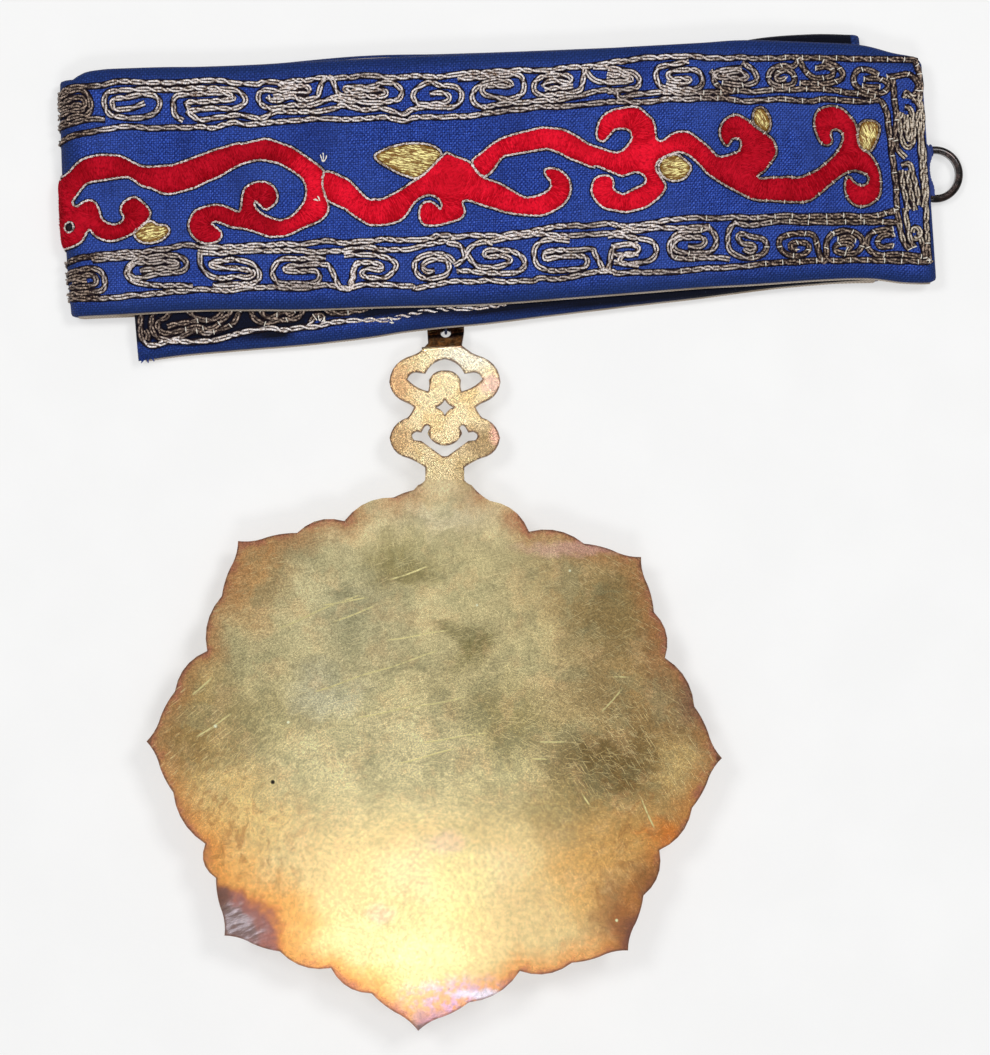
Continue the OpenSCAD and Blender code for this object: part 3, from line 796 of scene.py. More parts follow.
# ---------------------------------------------------------------------------------------------
# Couched metal thread: a silvered thread twisted from two strands is laid on the band in
# frame lines and key frets, and held down by small stitches across it. It has tarnished
# brown towards both ends of the band.

strand_radius = 0.2
side_spread = 0.27
height_spread = 0.13
twist_length = 5.4
wrapping_pitch = 0.42
cord_sink = 0.03
core_half_width = 0.66
core_half_height = 0.07
cord_wander = 0.3
path_pitch = 0.3
wander_length = 3.1
tie_brown, tie_brown_reach = 0.82, 0.2
tie_left_end = -62
sky = 50

# frame lines, from left to right; a second line doubles each inner one for most of its way
upper_outer_line = [
    (-83.5, 79.6), (-82.8, 80.4), (-81.8, 81), (-80.5, 81.3), (-75.8, 81.5), (-72, 82.2),
    (-60.4, 82.2), (-56.2, 82.6), (-47.4, 81.8), (-45.7, 82.2), (-43.6, 82.3), (-41.5, 82.2),
    (-35.5, 82.9), (-31.5, 83.1), (-29.4, 83), (-27, 83.5), (-20.3, 83), (-17.5, 83.5), (-14, 83.1),
    (-9.8, 83.7), (-2.4, 84.2), (6.7, 84.4), (8.4, 84.8), (14.1, 85), (17.6, 85.8), (19.7, 86),
    (19.8, 85.8), (24.3, 86.7), (33.3, 86.9), (39.2, 86.6), (55.3, 86.7), (62.8, 86.4), (72.9, 86.4),
    (74, 85.9), (74.5, 84.4), (74.8, 81.7), (76.5, 49.6),
]
upper_inner_line = [
    (-83.5, 70.9), (-80.7, 72.4), (-72.3, 73.9), (-61.8, 73.8), (-57.6, 74), (-55.1, 73.8),
    (-53, 74.4), (-50.6, 74.7), (-48.1, 74.4), (-43.9, 74.9), (-39, 75.1), (-33.7, 75.7),
    (-29.1, 75.4), (-24.5, 75.8), (-22.4, 75.7), (-19.2, 75.1), (-17.5, 75.7), (-8.4, 76),
    (-1.4, 76.9), (8.4, 77.8), (17.6, 78.5), (24.7, 78.5), (29.9, 79.1), (38.5, 79.2), (44.1, 78.8),
    (49.7, 79.1), (54.6, 78.8), (57.2, 79.1), (62.8, 78.7), (65.4, 78.8), (68, 78.5), (69.3, 72),
    (70.7, 60.1), (70.3, 58.7), (68.4, 58.3),
]
upper_doubled_left = [(-83.5, 73.5), (-82.5, 74.2), (-78.6, 75.4), (-74.4, 75.6)]
upper_doubled_middle = [
    (-59.5, 76.9), (-58.6, 76), (-56.9, 75.3), (-50.6, 76.1), (-48.5, 76.1), (-46.4, 75.6),
    (-45, 75.8), (-43.9, 76.5), (-42.5, 77), (-38.7, 76.7), (-36.5, 76.8), (-32.3, 77.3),
    (-31.5, 77.9), (-29.4, 77.7), (-27, 77.2), (-23.5, 77.5), (-20.3, 76.3), (-18.5, 77.2),
    (-16.4, 77.6), (-11.9, 77.6),
]
upper_doubled_right = [
    (-4.9, 77.7), (0, 78.4), (8.1, 78.9), (17.6, 80.8), (19.8, 79.5), (22, 79.9), (29.1, 80.3),
    (31.8, 80), (37.4, 80.4), (46, 80.6), (53.4, 81.1), (58.7, 80.8), (60.9, 80.3), (66.5, 79.7),
]
lower_inner_line = [
    (-83.2, 48.6), (-79.3, 50), (-77.2, 50.4), (-64.2, 51.5), (-59.7, 52.3), (-54.8, 51.9),
    (-46, 52.4), (-38.7, 52.5), (-34.4, 53.2), (-31.5, 52.7), (-24.5, 53.3), (-15.4, 53.5), (-14, 54),
    (-11.9, 54.1), (-9.8, 53.9), (-7.7, 54.3), (-3.5, 54), (-1, 54.2), (10.6, 56), (13, 55.8),
    (17.9, 56.3), (19.8, 55.9), (22.4, 55.9), (32.9, 57.4), (38.5, 57.1), (41.1, 57.4), (44.1, 57.4),
    (49.7, 57.7), (52.7, 57.5), (55.3, 57.7), (60.9, 57.7), (63.9, 57.5), (66.5, 57.7), (70.1, 58.7),
]
lower_doubled_left = [
    (-57.6, 51.1), (-54.8, 51), (-43.2, 51.5), (-38.7, 51.4), (-36.2, 51.1), (-31.5, 51.3), (-27, 52),
    (-22.4, 51.4), (-17.5, 51.8), (-15, 52.5), (-10.5, 53.2),
]
lower_doubled_middle = [
    (-4.9, 52.8), (0, 53.8), (5.6, 54.3), (11.3, 54.1), (22.8, 55), (27.6, 55.6), (31, 55.5),
    (34, 55.8), (36.2, 55.6),
]
lower_doubled_right = [(40.7, 56.5), (43.7, 56), (49.7, 56.6), (68.4, 56.5), (71.2, 56.1)]
lower_outer_line = [
    (-83.2, 42.1), (-80.7, 42.6), (-72.3, 42.8), (-57.6, 44.2), (-52, 44.1), (-43.9, 44.7),
    (-41.5, 44.4), (-39, 44.4), (-34.1, 45.1), (-32, 44.7), (-31.5, 44.4), (-29.8, 44.4),
    (-27.7, 44.9), (-25.2, 45.2), (-18.5, 44.9), (-17.5, 44.4), (-10.5, 45.7), (2.8, 45.7),
    (4.9, 46.3), (9.2, 46.2), (13.7, 47.1), (18.6, 47.7), (19.8, 47.3), (30.3, 47.6), (49, 49.1),
    (60.2, 49.6), (75.4, 49.4), (76.5, 49.6),
]

# scrolls of the upper border, the lower border, and the column at the ring end
top_scrolls = [
    [(-83.3, 78.6), (-82.5, 79.6), (-81.4, 80.4), (-80.3, 80.8), (-79.1, 80.9), (-78.2, 80.4),
     (-77.6, 79.5), (-77.2, 78.4), (-77.2, 77.5), (-77.6, 76.6), (-78.4, 76.1), (-80.7, 75.7),
     (-83.1, 74.2)],
    [(-83.2, 77.7), (-82.4, 78.4), (-80.3, 79.3), (-79, 79.3), (-78.3, 78.8), (-78.2, 77.9),
     (-78.6, 77.1), (-79.6, 76.9), (-81, 76.9), (-83.1, 75.8)],
    [(-82.6, 77.2), (-81.1, 77.9), (-79.8, 78.2), (-79.2, 77.9)],
    [(-63.2, 80.8), (-67.4, 80.9), (-73.5, 80.6), (-74.4, 79.6), (-74.6, 78.1), (-74.1, 76.7),
     (-72.8, 75.9), (-68.8, 75.6), (-67.1, 75.8), (-65.6, 76.3), (-64.8, 77.4), (-64.6, 78.7),
     (-65.3, 79.6), (-66.7, 79.9), (-72.1, 79.4), (-73, 78.8), (-73, 77.9), (-72.3, 77.1),
     (-67.2, 78.2)],
    [(-63.2, 80.8), (-56.2, 81.2), (-51.3, 80.9), (-49.7, 80.3), (-48.9, 79.3), (-49.2, 78.2),
     (-50.4, 77.5), (-52, 77.3), (-54.1, 77.4), (-59.5, 76.9)],
    [(-59.3, 77.3), (-59.8, 77.9), (-59.3, 78.4), (-51.8, 78.8), (-51.1, 79.3), (-51.8, 79.9),
     (-53, 80.1), (-59.7, 79.9), (-61.4, 79.7), (-62.1, 78.9), (-62.1, 77.7), (-61.9, 76.5),
     (-61.3, 75.7), (-60.2, 75.1)],
    [(-42.6, 82.1), (-41.7, 81.7), (-40.5, 81.6), (-38.2, 81.6), (-37.4, 81.3), (-37.2, 80.7),
     (-37.6, 80.3), (-39.8, 80.3), (-43.8, 79.5)],
    [(-39.3, 81.3), (-42.6, 80.6), (-44.9, 80.9), (-45.8, 80.7), (-46.3, 80.2), (-46.4, 79.3),
     (-46.1, 78.5), (-45.5, 77.9), (-44.6, 77.6), (-43.3, 77.5), (-39.8, 78), (-37.2, 77.9),
     (-36.1, 78.1), (-33.2, 79.2), (-31.4, 79.5)],
    [(-44.8, 79.7), (-44.2, 79), (-43.3, 78.9), (-42.2, 79), (-40.4, 79.5), (-38.6, 78.9),
     (-37.2, 78.9), (-36.1, 79.2), (-35.4, 79.6), (-34.8, 82.4), (-34.2, 82.7)],
    [(-33.7, 83.2), (-33, 82.7), (-32.2, 80.7), (-31.6, 79.9), (-30.5, 79.6), (-29.4, 79.5),
     (-26.8, 79.7), (-25.4, 79.6), (-23.1, 79.9), (-22.8, 80.4), (-23.1, 80.8), (-24, 80.9),
     (-28.1, 80.7), (-29.4, 80.5), (-30.4, 80.7), (-30.5, 81.2), (-29.7, 81.5), (-28.7, 81.5),
     (-26.1, 81.4), (-24.9, 81.6), (-24.4, 82), (-23.3, 82.2), (-22.1, 82.2), (-21.2, 81.8),
     (-20.5, 81.1), (-20.1, 80.3), (-20.4, 79.4), (-21.1, 78.9), (-24.6, 78.6), (-27.5, 78.5),
     (-33.4, 79.2)],
    [(-15, 80), (-12.9, 80.2), (-11.7, 79.9), (-11.5, 79.2), (-12.6, 78.5), (-16.1, 78.2),
     (-17.4, 78.8), (-18, 79.8), (-17.6, 80.9), (-16.4, 81.8), (-14.9, 82.1), (-13.3, 81.6),
     (-11.5, 81.6), (-10.1, 81.3), (-9.2, 80.2), (-9.1, 79), (-10.1, 78), (-11.9, 77.6)],
    [(-9.8, 82.7), (-4.9, 83.3), (0, 83.6), (1.6, 83.1), (2.2, 81.8), (1.9, 80.5), (0.7, 79.5),
     (-1.1, 79.2), (-3.1, 79.5), (-4.8, 79.9), (-5.3, 80.7), (-4.5, 81.5), (-0.5, 81.6), (-0.3, 82.2),
     (-1.1, 82.6), (-3.5, 82.4), (-5.5, 81.7), (-6.9, 80.7), (-7.3, 79.5), (-6.6, 78.2), (-4.9, 77.7)],
    [(5.6, 81.4), (6.4, 82.3), (8.1, 82.5), (9.5, 82.1), (10.6, 82), (10.8, 82.7), (10, 83.4),
     (8.1, 83.5), (6, 83.3), (4.5, 82.6), (4, 81.4), (4.6, 80.2), (6.3, 79.7), (10.6, 80.3),
     (12.3, 80.8), (12.9, 82), (13.4, 84.5)],
    [(6, 80.9), (11.3, 81.4)],
    [(13.6, 84.5), (14.7, 83.1), (16.2, 82.3), (18.3, 82.2), (20.4, 82.4), (21.5, 83), (21.1, 83.6),
     (17.6, 84.1)],
    [(14.9, 84.9), (20.5, 84.4), (22.6, 84), (23.6, 82.7), (23.2, 81.4), (21.8, 80.9), (17.5, 80.6)],
    [(17.5, 83.3), (21.4, 83.2), (21.4, 82.4), (17.5, 82)],
    [(32.3, 85.9), (27.6, 85.1), (26.4, 84), (26.3, 82.7), (27.1, 81.6), (29, 81), (31.4, 80.8),
     (33.6, 81), (34.8, 81.9), (34.9, 83.2), (34, 84.2), (32.1, 84.4), (29.9, 84.4), (28.7, 83.8),
     (29.1, 83), (32.4, 82.8), (31.8, 82), (29.9, 81.9), (28.3, 82.3)],
    [(36.6, 84.4), (37.7, 83.2), (40, 82.9), (42.2, 82.8), (43.1, 83.3), (42.2, 84), (40.4, 84),
     (38.5, 83.5)],
    [(42.2, 85.8), (43.9, 84.9), (44.8, 83.6), (44.8, 82.5), (43.2, 81.9), (40.7, 81.9), (38.5, 82.2)],
    [(42.2, 84.7), (40, 84.7), (37.9, 84.4), (37, 83.2), (37.3, 81.9), (38.7, 81), (40.7, 80.7)],
    [(50.3, 82.9), (48.9, 82.7), (48.3, 83.5), (49.7, 84.3), (51.4, 83.9), (51.9, 82.7), (51.1, 81.8),
     (49, 81.5), (47.4, 82.2), (46.9, 83.4), (47.7, 84.7), (49.7, 85.2), (51.6, 84.9), (52.3, 85.9)],
    [(52.4, 86.4), (54.6, 83.5), (56.5, 82.9), (58.6, 83.2), (59.1, 84.1), (57.6, 85), (55.7, 84.9)],
    [(57.2, 86), (59.5, 85.3), (60.6, 83.8), (60.1, 82.6), (57.9, 82), (55.3, 82.1), (52.7, 81.9)],
    [(67.1, 83.6), (65.4, 84.4), (63.4, 84.3), (62.7, 82.9), (63.4, 81.3), (65, 80.6), (67.2, 80.2),
     (68.7, 81), (68.4, 82.5), (66.5, 82.9), (64.5, 82.6)],
    [(64.3, 81.6), (65.8, 81.3), (67.3, 81.4)],
]
bottom_scrolls = [
    [(-83.2, 46.5), (-80.9, 47.5), (-79, 47.9), (-76.9, 47.9), (-75.3, 47.3), (-74.7, 46.1),
     (-74.8, 44.7), (-76, 43.9), (-80.7, 43.5), (-83.2, 43.2)],
    [(-82.8, 45.1), (-80.7, 46.3), (-78.6, 46.9), (-76.9, 46.8), (-76.2, 45.9), (-76.9, 44.9),
     (-80.7, 44.6)],
    [(-80.4, 45.6), (-77.9, 45.9)],
    [(-76.9, 49.6), (-74.1, 49.9), (-68.5, 50.1), (-63.2, 50.5), (-61.1, 50.4), (-59.8, 49.5),
     (-59.8, 48.3), (-61.1, 47.5), (-65.3, 47.1), (-68.6, 46.2), (-69.6, 46.5), (-70.1, 47.4),
     (-69.6, 48.4), (-68.1, 49.1), (-61.8, 49.3), (-61.2, 48.7), (-62.1, 48.3), (-66.7, 48),
     (-68.1, 47.6)],
    [(-68.1, 49.8), (-69.9, 48.9), (-70.7, 47.4), (-70.1, 46), (-68.5, 45.3), (-58.3, 44.9)],
    [(-57.2, 51.2), (-57.3, 50), (-57.1, 48.6), (-56.1, 47.1), (-54.4, 46.4), (-50.2, 46.6),
     (-48.3, 46.5), (-47.4, 47), (-48.1, 47.8), (-54.1, 48.3), (-55.3, 48.7), (-55, 49.3), (-53, 49.6),
     (-50.9, 49.7), (-49.2, 49.5), (-47.6, 49), (-46.5, 47.7), (-46.4, 46.4), (-47.5, 45.4),
     (-49.5, 45.2), (-54.8, 45)],
    [(-34.1, 50), (-40.1, 49.8), (-42.5, 49.5), (-43.7, 48.3), (-43.9, 46.9), (-43, 45.6),
     (-41.1, 45.3), (-36.2, 45.5), (-35.2, 46.5), (-36, 47.4), (-38, 47.5), (-40.2, 47.4),
     (-41.6, 47.8), (-40.9, 48.4), (-34.4, 48.8), (-33.3, 48.1), (-31.8, 44.9), (-30.6, 44.3),
     (-29.5, 44.8), (-28.8, 48.3), (-27.9, 49.1)],
    [(-30.8, 50.4), (-28.7, 50.5), (-24.5, 50.4), (-22.4, 49.9), (-21.2, 48.9), (-21.4, 47.7),
     (-22.8, 46.7), (-24.9, 46.3), (-26.8, 46.5), (-27.6, 47.3), (-26.6, 48), (-24.5, 47.8),
     (-23.5, 48.3), (-24.5, 49), (-26.6, 49.1), (-28.4, 49), (-29, 47.7), (-29.1, 46.2), (-29.7, 44.9)],
    [(-14, 47.6), (-15.5, 47.5), (-16.2, 48.4), (-15.4, 49.4), (-13.6, 49.8), (-12, 49.4),
     (-11.4, 48.3), (-12, 47), (-13.3, 46.4), (-15.4, 46.2), (-17.1, 46.7), (-17.8, 48.1),
     (-17.4, 49.5), (-16.1, 50.5), (-14, 50.8), (-11.9, 50.3), (-10.5, 49.1)],
    [(-11.9, 52.7), (-10.1, 52.6), (-8.9, 51.6), (-8.5, 50.3), (-9.4, 49.3), (-10.5, 48.6)],
    [(-3.5, 52.6), (-5.6, 52.8), (-7, 52.4), (-8, 51.3), (-7.8, 49.8), (-6.6, 48.6), (-4.5, 48.4),
     (-2.4, 48.5), (-0.6, 49.1), (-0.3, 49.9), (-1.6, 50.5), (-3.5, 50.2), (-4.9, 50.4), (-4.6, 51.2),
     (-2.1, 51.5), (0.4, 51.3), (1.9, 50.3), (2.3, 48.8), (1.4, 47.6), (-0.7, 47.2), (-10.1, 47.6)],
    [(10.6, 53.2), (7.7, 53.3), (5.7, 53.1), (4.3, 51.9), (4, 50.4), (4.6, 48.7), (6.3, 47.8),
     (8.8, 47.7), (11.6, 47.9), (13.5, 48.5), (13.9, 49.6), (12.9, 50.3), (10.6, 50.3), (6.5, 49.7),
     (5.8, 50.4), (6.5, 51.1), (14.1, 51.5), (15.2, 50.4), (16.9, 47.6), (17.8, 48.6), (18.1, 50.4),
     (18.7, 51.8), (20.7, 52.5), (23.2, 52.7)],
    [(23.2, 50.7), (21.1, 50.8), (19.9, 49.9), (20.4, 49), (23.2, 48.7)],
    [(17.5, 54), (19.8, 54.1), (24.3, 53.5), (25.9, 52.6), (26.4, 51.1), (25.4, 49.7), (23.2, 48.9),
     (20.5, 48.9), (18.7, 49.2)],
    [(18.3, 52.3), (22, 52.4), (23.2, 51.8), (22.8, 50.9), (20.9, 50.6), (18.7, 50.7)],
    [(34.8, 55.4), (36.2, 55.6), (37.3, 54.4), (37.5, 52.6), (36.2, 51.2), (34, 50.8), (31.4, 50.9),
     (29.8, 51.5), (29.7, 52.6), (30.6, 53.6), (32.9, 53.8), (35, 53.8), (35.4, 53), (34.4, 52.1),
     (32.1, 52)],
    [(34.8, 55.2), (30.7, 54.4), (29.2, 53.3), (28.8, 51.8), (29.6, 50.4), (31.8, 50), (37.7, 50),
     (40, 49.7)],
    [(40.9, 56.4), (39.8, 55.2), (39.5, 53.3), (40.1, 51.3), (41.9, 50.2), (44.1, 50), (46.1, 50.7),
     (46.7, 52.2), (46, 53.6), (43.7, 53.9), (41.9, 54.4), (41.3, 53.7), (42.2, 52.6), (44.1, 52.5),
     (44.8, 51.8), (43.7, 51.2), (42.3, 51.7)],
    [(52.3, 51.5), (51.1, 51.8), (51.2, 52.6), (52.7, 52.9), (54.2, 52.5), (54.4, 51.5), (53.4, 50.7),
     (51.6, 50.4), (49.8, 50.9), (48.9, 52.2), (49.3, 53.6), (51.2, 54.4), (53.4, 54.6), (55.3, 54),
     (56.5, 50.3), (57.1, 49.4), (57.6, 50.7), (57.7, 53), (58.8, 54.4)],
    [(58.8, 54.4), (60.6, 55), (62.8, 54.8), (64.1, 53.7), (64.3, 52.2), (63.2, 51), (60.9, 50.7),
     (59.3, 51.3), (59.5, 52.4), (61.3, 52.7), (62.4, 52.2), (61.3, 51.7)],
    [(59.8, 53.5), (61.7, 53.8), (63, 53.1)],
    [(69.9, 55.3), (67.7, 55.2), (65.9, 54.6), (65.2, 53.1), (65.6, 51.5), (67.3, 50.5), (69.5, 50.6),
     (74.8, 50.4)],
    [(70.1, 54.3), (68, 54), (67.1, 53.1), (67.7, 52.1), (69.9, 52.2)],
]
end_scrolls = [
    [(68.7, 83.2), (72.2, 83.6), (73.6, 83), (74.3, 81.7), (74.2, 80.3), (73.3, 79.5), (72.2, 80.3),
     (72, 79.2)],
    [(69.8, 83), (70.2, 80.4), (70.6, 75.3), (70.2, 73.1), (70.4, 70.7), (71.1, 69.5), (72.2, 68.4)],
    [(71.5, 76.6), (71.1, 74.9), (71.3, 72.8), (71.8, 71.1), (72.8, 70.4), (73.6, 71.3), (73.7, 73.5),
     (73.6, 75.7), (72.9, 77.5), (72, 77.7)],
    [(72.4, 76.2), (72.2, 74.2), (72.4, 72.2), (72.9, 71.7), (73.1, 73.5), (72.9, 75.7)],
    [(73.3, 79.3), (74.3, 78.8), (74.8, 77.1), (74.6, 74.9), (75.3, 65.8), (75.7, 61.4), (75.4, 59.4)],
    [(71.5, 66.9), (72.6, 67.3), (73.4, 66.5), (74.3, 62.9), (74.6, 61), (74.6, 59.6)],
    [(71.3, 66.2), (72.4, 59.9), (72.8, 58.8)],
    [(72.4, 66), (73.1, 61.8), (73.6, 59.9), (74, 58.8)],
    [(70.4, 58.8), (71.3, 54.4), (72, 52.6), (72.9, 51.7)],
    [(72, 59.2), (72.6, 54.8), (73.1, 53), (73.7, 52)],
    [(73.4, 54.8), (73.8, 55.7), (74.6, 55.3), (74.8, 54.2), (74.2, 53.5), (73.6, 53.9)],
    [(74.8, 54.8), (75.7, 50)],
]

cloth_surface = BVHTree.FromObject(neckband, bpy.context.evaluated_depsgraph_get())
fold_top_x, fold_top_y = -80.6, 82.8
fold_foot_x, fold_foot_y = -78.5, 39.4
fold_radius = (top_wing[0][6] - floor_part[-1][6]) / 2 + cloth_thick / 2


def lay_on(x, y, lift):
    """The place and normal on top of the band at a point of the plan, or on round its left fold."""
    share = (fold_top_y - y) / (fold_top_y - fold_foot_y)
    axis = fold_top_x + (fold_foot_x - fold_top_x) * share
    if x < axis:
        reach = (axis - x) / fold_radius
        turned = math.asin(reach) if reach < 1 else math.pi / 2 + (reach - 1)
        station = folded(floor_part[-1], top_wing[0], -90, left_bow, 1 - turned / math.pi)
        face = math.radians(station[7])
        normal = Vector((math.cos(face), 0, math.sin(face)))
        return band_point(station, share, cloth_thick / 2 + lift), normal
    hit, normal = cloth_surface.ray_cast(Vector((x, y, sky)) * MM, Vector((0, 0, -1)))[:2]
    if hit is None:
        return Vector((x, y, top_wing_z + cloth_thick / 2 + lift)), Vector((0, 0, 1))
    if normal.z < 0.5:
        normal = Vector((0, 0, 1))
    return hit / MM + normal * lift, normal


def tarnish(x, y):
    """How brown the metal thread has turned at a place, from 0 to 1."""
    right = min(max((x - 28) / 26, 0), 1)
    if 71 < x and 53 < y < 80:
        right *= 0.45
    left = min(max((-73.5 - x) / 4, 0), 1)
    patch = min(max((noise.noise(Vector((x / 13, y / 9, 4.4))) - 0.1) * 3, 0), 1)
    return min(max(right, left) * 0.95 + 0.55 * patch, 1)


def thread_paths(name, lines, lift, wander, closed=False, tone=tarnish, place_at=lay_on):
    """Edges along the lines, laid on the cloth, that know its normal and their own tarnish."""
    points, edges, ups, tones = [], [], [], []
    for order, line in enumerate(lines):
        first = len(points)
        for point in smooth_line(line, path_pitch, closed):
            seed = Vector((point.x / wander_length, point.y / wander_length, order * 7.3))
            x = point.x + wander * noise.noise(seed)
            y = point.y + wander * noise.noise(seed + Vector((40, 9, 0)))
            spot, normal = place_at(x, y, lift)
            points.append(spot * MM)
            ups.append(normal)
            tones.append(tone(x, y))
        edges += [(k, k + 1) for k in range(first, len(points) - 1)]
        if closed:
            edges.append((len(points) - 1, first))
    data = bpy.data.meshes.new(name)
    data.from_pydata(points, edges, [])
    up = data.attributes.new("up", "FLOAT_VECTOR", "POINT")
    up.data.foreach_set("vector", [value for normal in ups for value in normal])
    level = data.attributes.new("tarnish", "FLOAT", "POINT")
    level.data.foreach_set("value", tones)
    return put(name, data)


def new_tree(name, result, inputs):
    """An empty Geometry Nodes tree and its inputs, each given as a kind or as its usual length."""
    tree = bpy.data.node_groups.new(name, "GeometryNodeTree")
    for title, usual in inputs.items():
        kind = usual if isinstance(usual, str) else "Float"
        socket = tree.interface.new_socket(name=title, in_out="INPUT", socket_type="NodeSocket" + kind)
        if kind == "Float":
            socket.default_value = usual
    tree.interface.new_socket(name=result, in_out="OUTPUT", socket_type="NodeSocketGeometry")
    return tree, tree.nodes.new("NodeGroupInput").outputs


def named(tree, name, kind="FLOAT"):
    """A named attribute as a field."""
    return add(tree, "GeometryNodeInputNamedAttribute", {"Name": name}, data_type=kind).outputs[0]


def store(geometry, name, value, domain="POINT"):
    """The geometry with a float stored under a name, for the material to read."""
    inputs = {"Geometry": geometry, "Name": name, "Value": value}
    return wired("GeometryNodeStoreNamedAttribute", inputs, domain=domain)[0]


def resampled(curve, pitch):
    """The curve with a point at every pitch."""
    return wired("GeometryNodeResampleCurve", {"Curve": curve, "Length": pitch}, mode="LENGTH")[0]


def tube(curve, section):
    """A closed tube of that section along a curve."""
    inputs = {"Curve": curve, "Profile Curve": section, "Fill Caps": True}
    return wired("GeometryNodeCurveToMesh", inputs)[0]


def circle(tree, resolution, radius):
    """A round section for a tube."""
    inputs = {"Resolution": resolution, "Radius": radius}
    return add(tree, "GeometryNodeCurvePrimitiveCircle", inputs).outputs[0]


def joined_up(*parts):
    """A vector of its three parts."""
    return wired("ShaderNodeCombineXYZ", dict(enumerate(parts)))[0]


def turned_to(up, along):
    """The turn that stands a piece on up and lays its X along a way."""
    inputs = {0: up, 1: along}
    return wired("FunctionNodeAxesToRotation", inputs, primary_axis="Z", secondary_axis="X")[0]


def compared(operation, value, limit):
    """Whether a value passes a limit."""
    return wired("FunctionNodeCompare", {0: value, 1: limit}, operation=operation)[0]


def end_tree(tree, geometry, finish):
    """Ends a tree with real, smooth geometry in that finish."""
    real = wired("GeometryNodeRealizeInstances", {0: geometry})[0]
    smooth = wired("GeometryNodeSetShadeSmooth", {0: real})[0]
    dressed = wired("GeometryNodeSetMaterial", {"Geometry": smooth, "Material": finish})[0]
    add(tree, "NodeGroupOutput", {0: dressed})
    return tree


def made_by(tree, piece, name, values):
    """The plain mesh that a Geometry Nodes tree makes of a piece, as a new object."""
    modifier = piece.modifiers.new("make", "NODES")
    modifier.node_group = tree
    for socket in tree.interface.items_tree:
        if socket.in_out == "INPUT" and socket.name in values:
            modifier[socket.identifier] = values[socket.name]
    piece.update_tag()
    graph = bpy.context.evaluated_depsgraph_get()
    data = bpy.data.meshes.new_from_object(piece.evaluated_get(graph), depsgraph=graph)
    data.name = name
    piece.modifiers.clear()
    return put(name, data)


def twisted_cord_tree():
    """Two strands wound round each path, with the height of each strand kept for the material."""
    tree, given = new_tree("twisted_cord", "Cord", {
        "Paths": "Geometry", "Strand radius": 0.0002, "Side spread": 0.0002, "Height spread": 0.0002,
        "Twist length": 0.002, "Core half width": 0.0005, "Core half height": 0.0001,
        "Core drop": 0.0002, "Finish": "Material", "Core finish": "Material"})
    curve = wired("GeometryNodeMeshToCurve", {0: given["Paths"]})[0]
    up = named(tree, "up", "FLOAT_VECTOR")
    side = vectors("CROSS_PRODUCT", up, tree.nodes.new("GeometryNodeInputTangent").outputs[0])
    side = wired("ShaderNodeVectorMath", {0: side}, operation="NORMALIZE")[0]
    here = tree.nodes.new("GeometryNodeInputPosition").outputs[0]
    travelled = tree.nodes.new("GeometryNodeSplineParameter").outputs["Length"]
    turns = sums("MULTIPLY", sums("DIVIDE", travelled, given["Twist length"]), math.tau)
    turns = sums("ADD", turns, sums("MULTIPLY", grain(here, 1 / (7 * MM), 1.0), 9.0))
    joined = tree.nodes.new("GeometryNodeJoinGeometry")
    for phase in (0.0, math.pi):
        angle = sums("ADD", turns, phase)
        sideways = sums("MULTIPLY", sums("COSINE", angle), 1.5)
        sideways = sums("MINIMUM", sums("MAXIMUM", sideways, -1.0), 1.0)
        sideways = scaled(side, sums("MULTIPLY", sideways, given["Side spread"]))
        high = sums("SINE", angle)
        upwards = scaled(up, sums("MULTIPLY", high, given["Height spread"]))
        marked = store(store(curve, "height", high), "travelled", travelled)
        moved = wired("GeometryNodeSetPosition",
                      {"Geometry": marked, "Offset": vectors("ADD", sideways, upwards)})[0]
        strand = tube(moved, circle(tree, 5, given["Strand radius"]))
        dressed = wired("GeometryNodeSetMaterial", {"Geometry": strand, "Material": given["Finish"]})[0]
        tree.links.new(dressed, joined.inputs[0])
    # the dark silk core shows between the strands, and where it shows beside them it stands in for the
    # cord's shadow on the cloth, a painted shadow
    low = resampled(curve, 0.6 * MM)
    dropped = {"Geometry": low, "Offset": scaled(up, given["Core drop"])}
    low = wired("GeometryNodeSetPosition", dropped)[0]
    low = wired("GeometryNodeSetCurveNormal", {"Curve": low, "Normal": side}, mode="FREE")[0]
    ragged = {"Value": grain(here, 1 / (1.5 * MM), 2.0), 3: 0.6, 4: 1.25}
    ragged = wired("ShaderNodeMapRange", ragged)[0]
    low = wired("GeometryNodeSetCurveRadius", {"Curve": low, "Radius": ragged})[0]
    flat = joined_up(given["Core half width"], given["Core half height"], 1.0)
    section = wired("GeometryNodeTransform", {"Geometry": circle(tree, 6, 1.0), "Scale": flat})[0]
    core = {"Geometry": tube(low, section), "Material": given["Core finish"]}
    tree.links.new(wired("GeometryNodeSetMaterial", core)[0], joined.inputs[0])
    smooth = wired("GeometryNodeSetShadeSmooth", {0: joined.outputs[0]})[0]
    real = wired("GeometryNodeRealizeInstances", {0: smooth})[0]
    add(tree, "NodeGroupOutput", {0: real})
    return tree


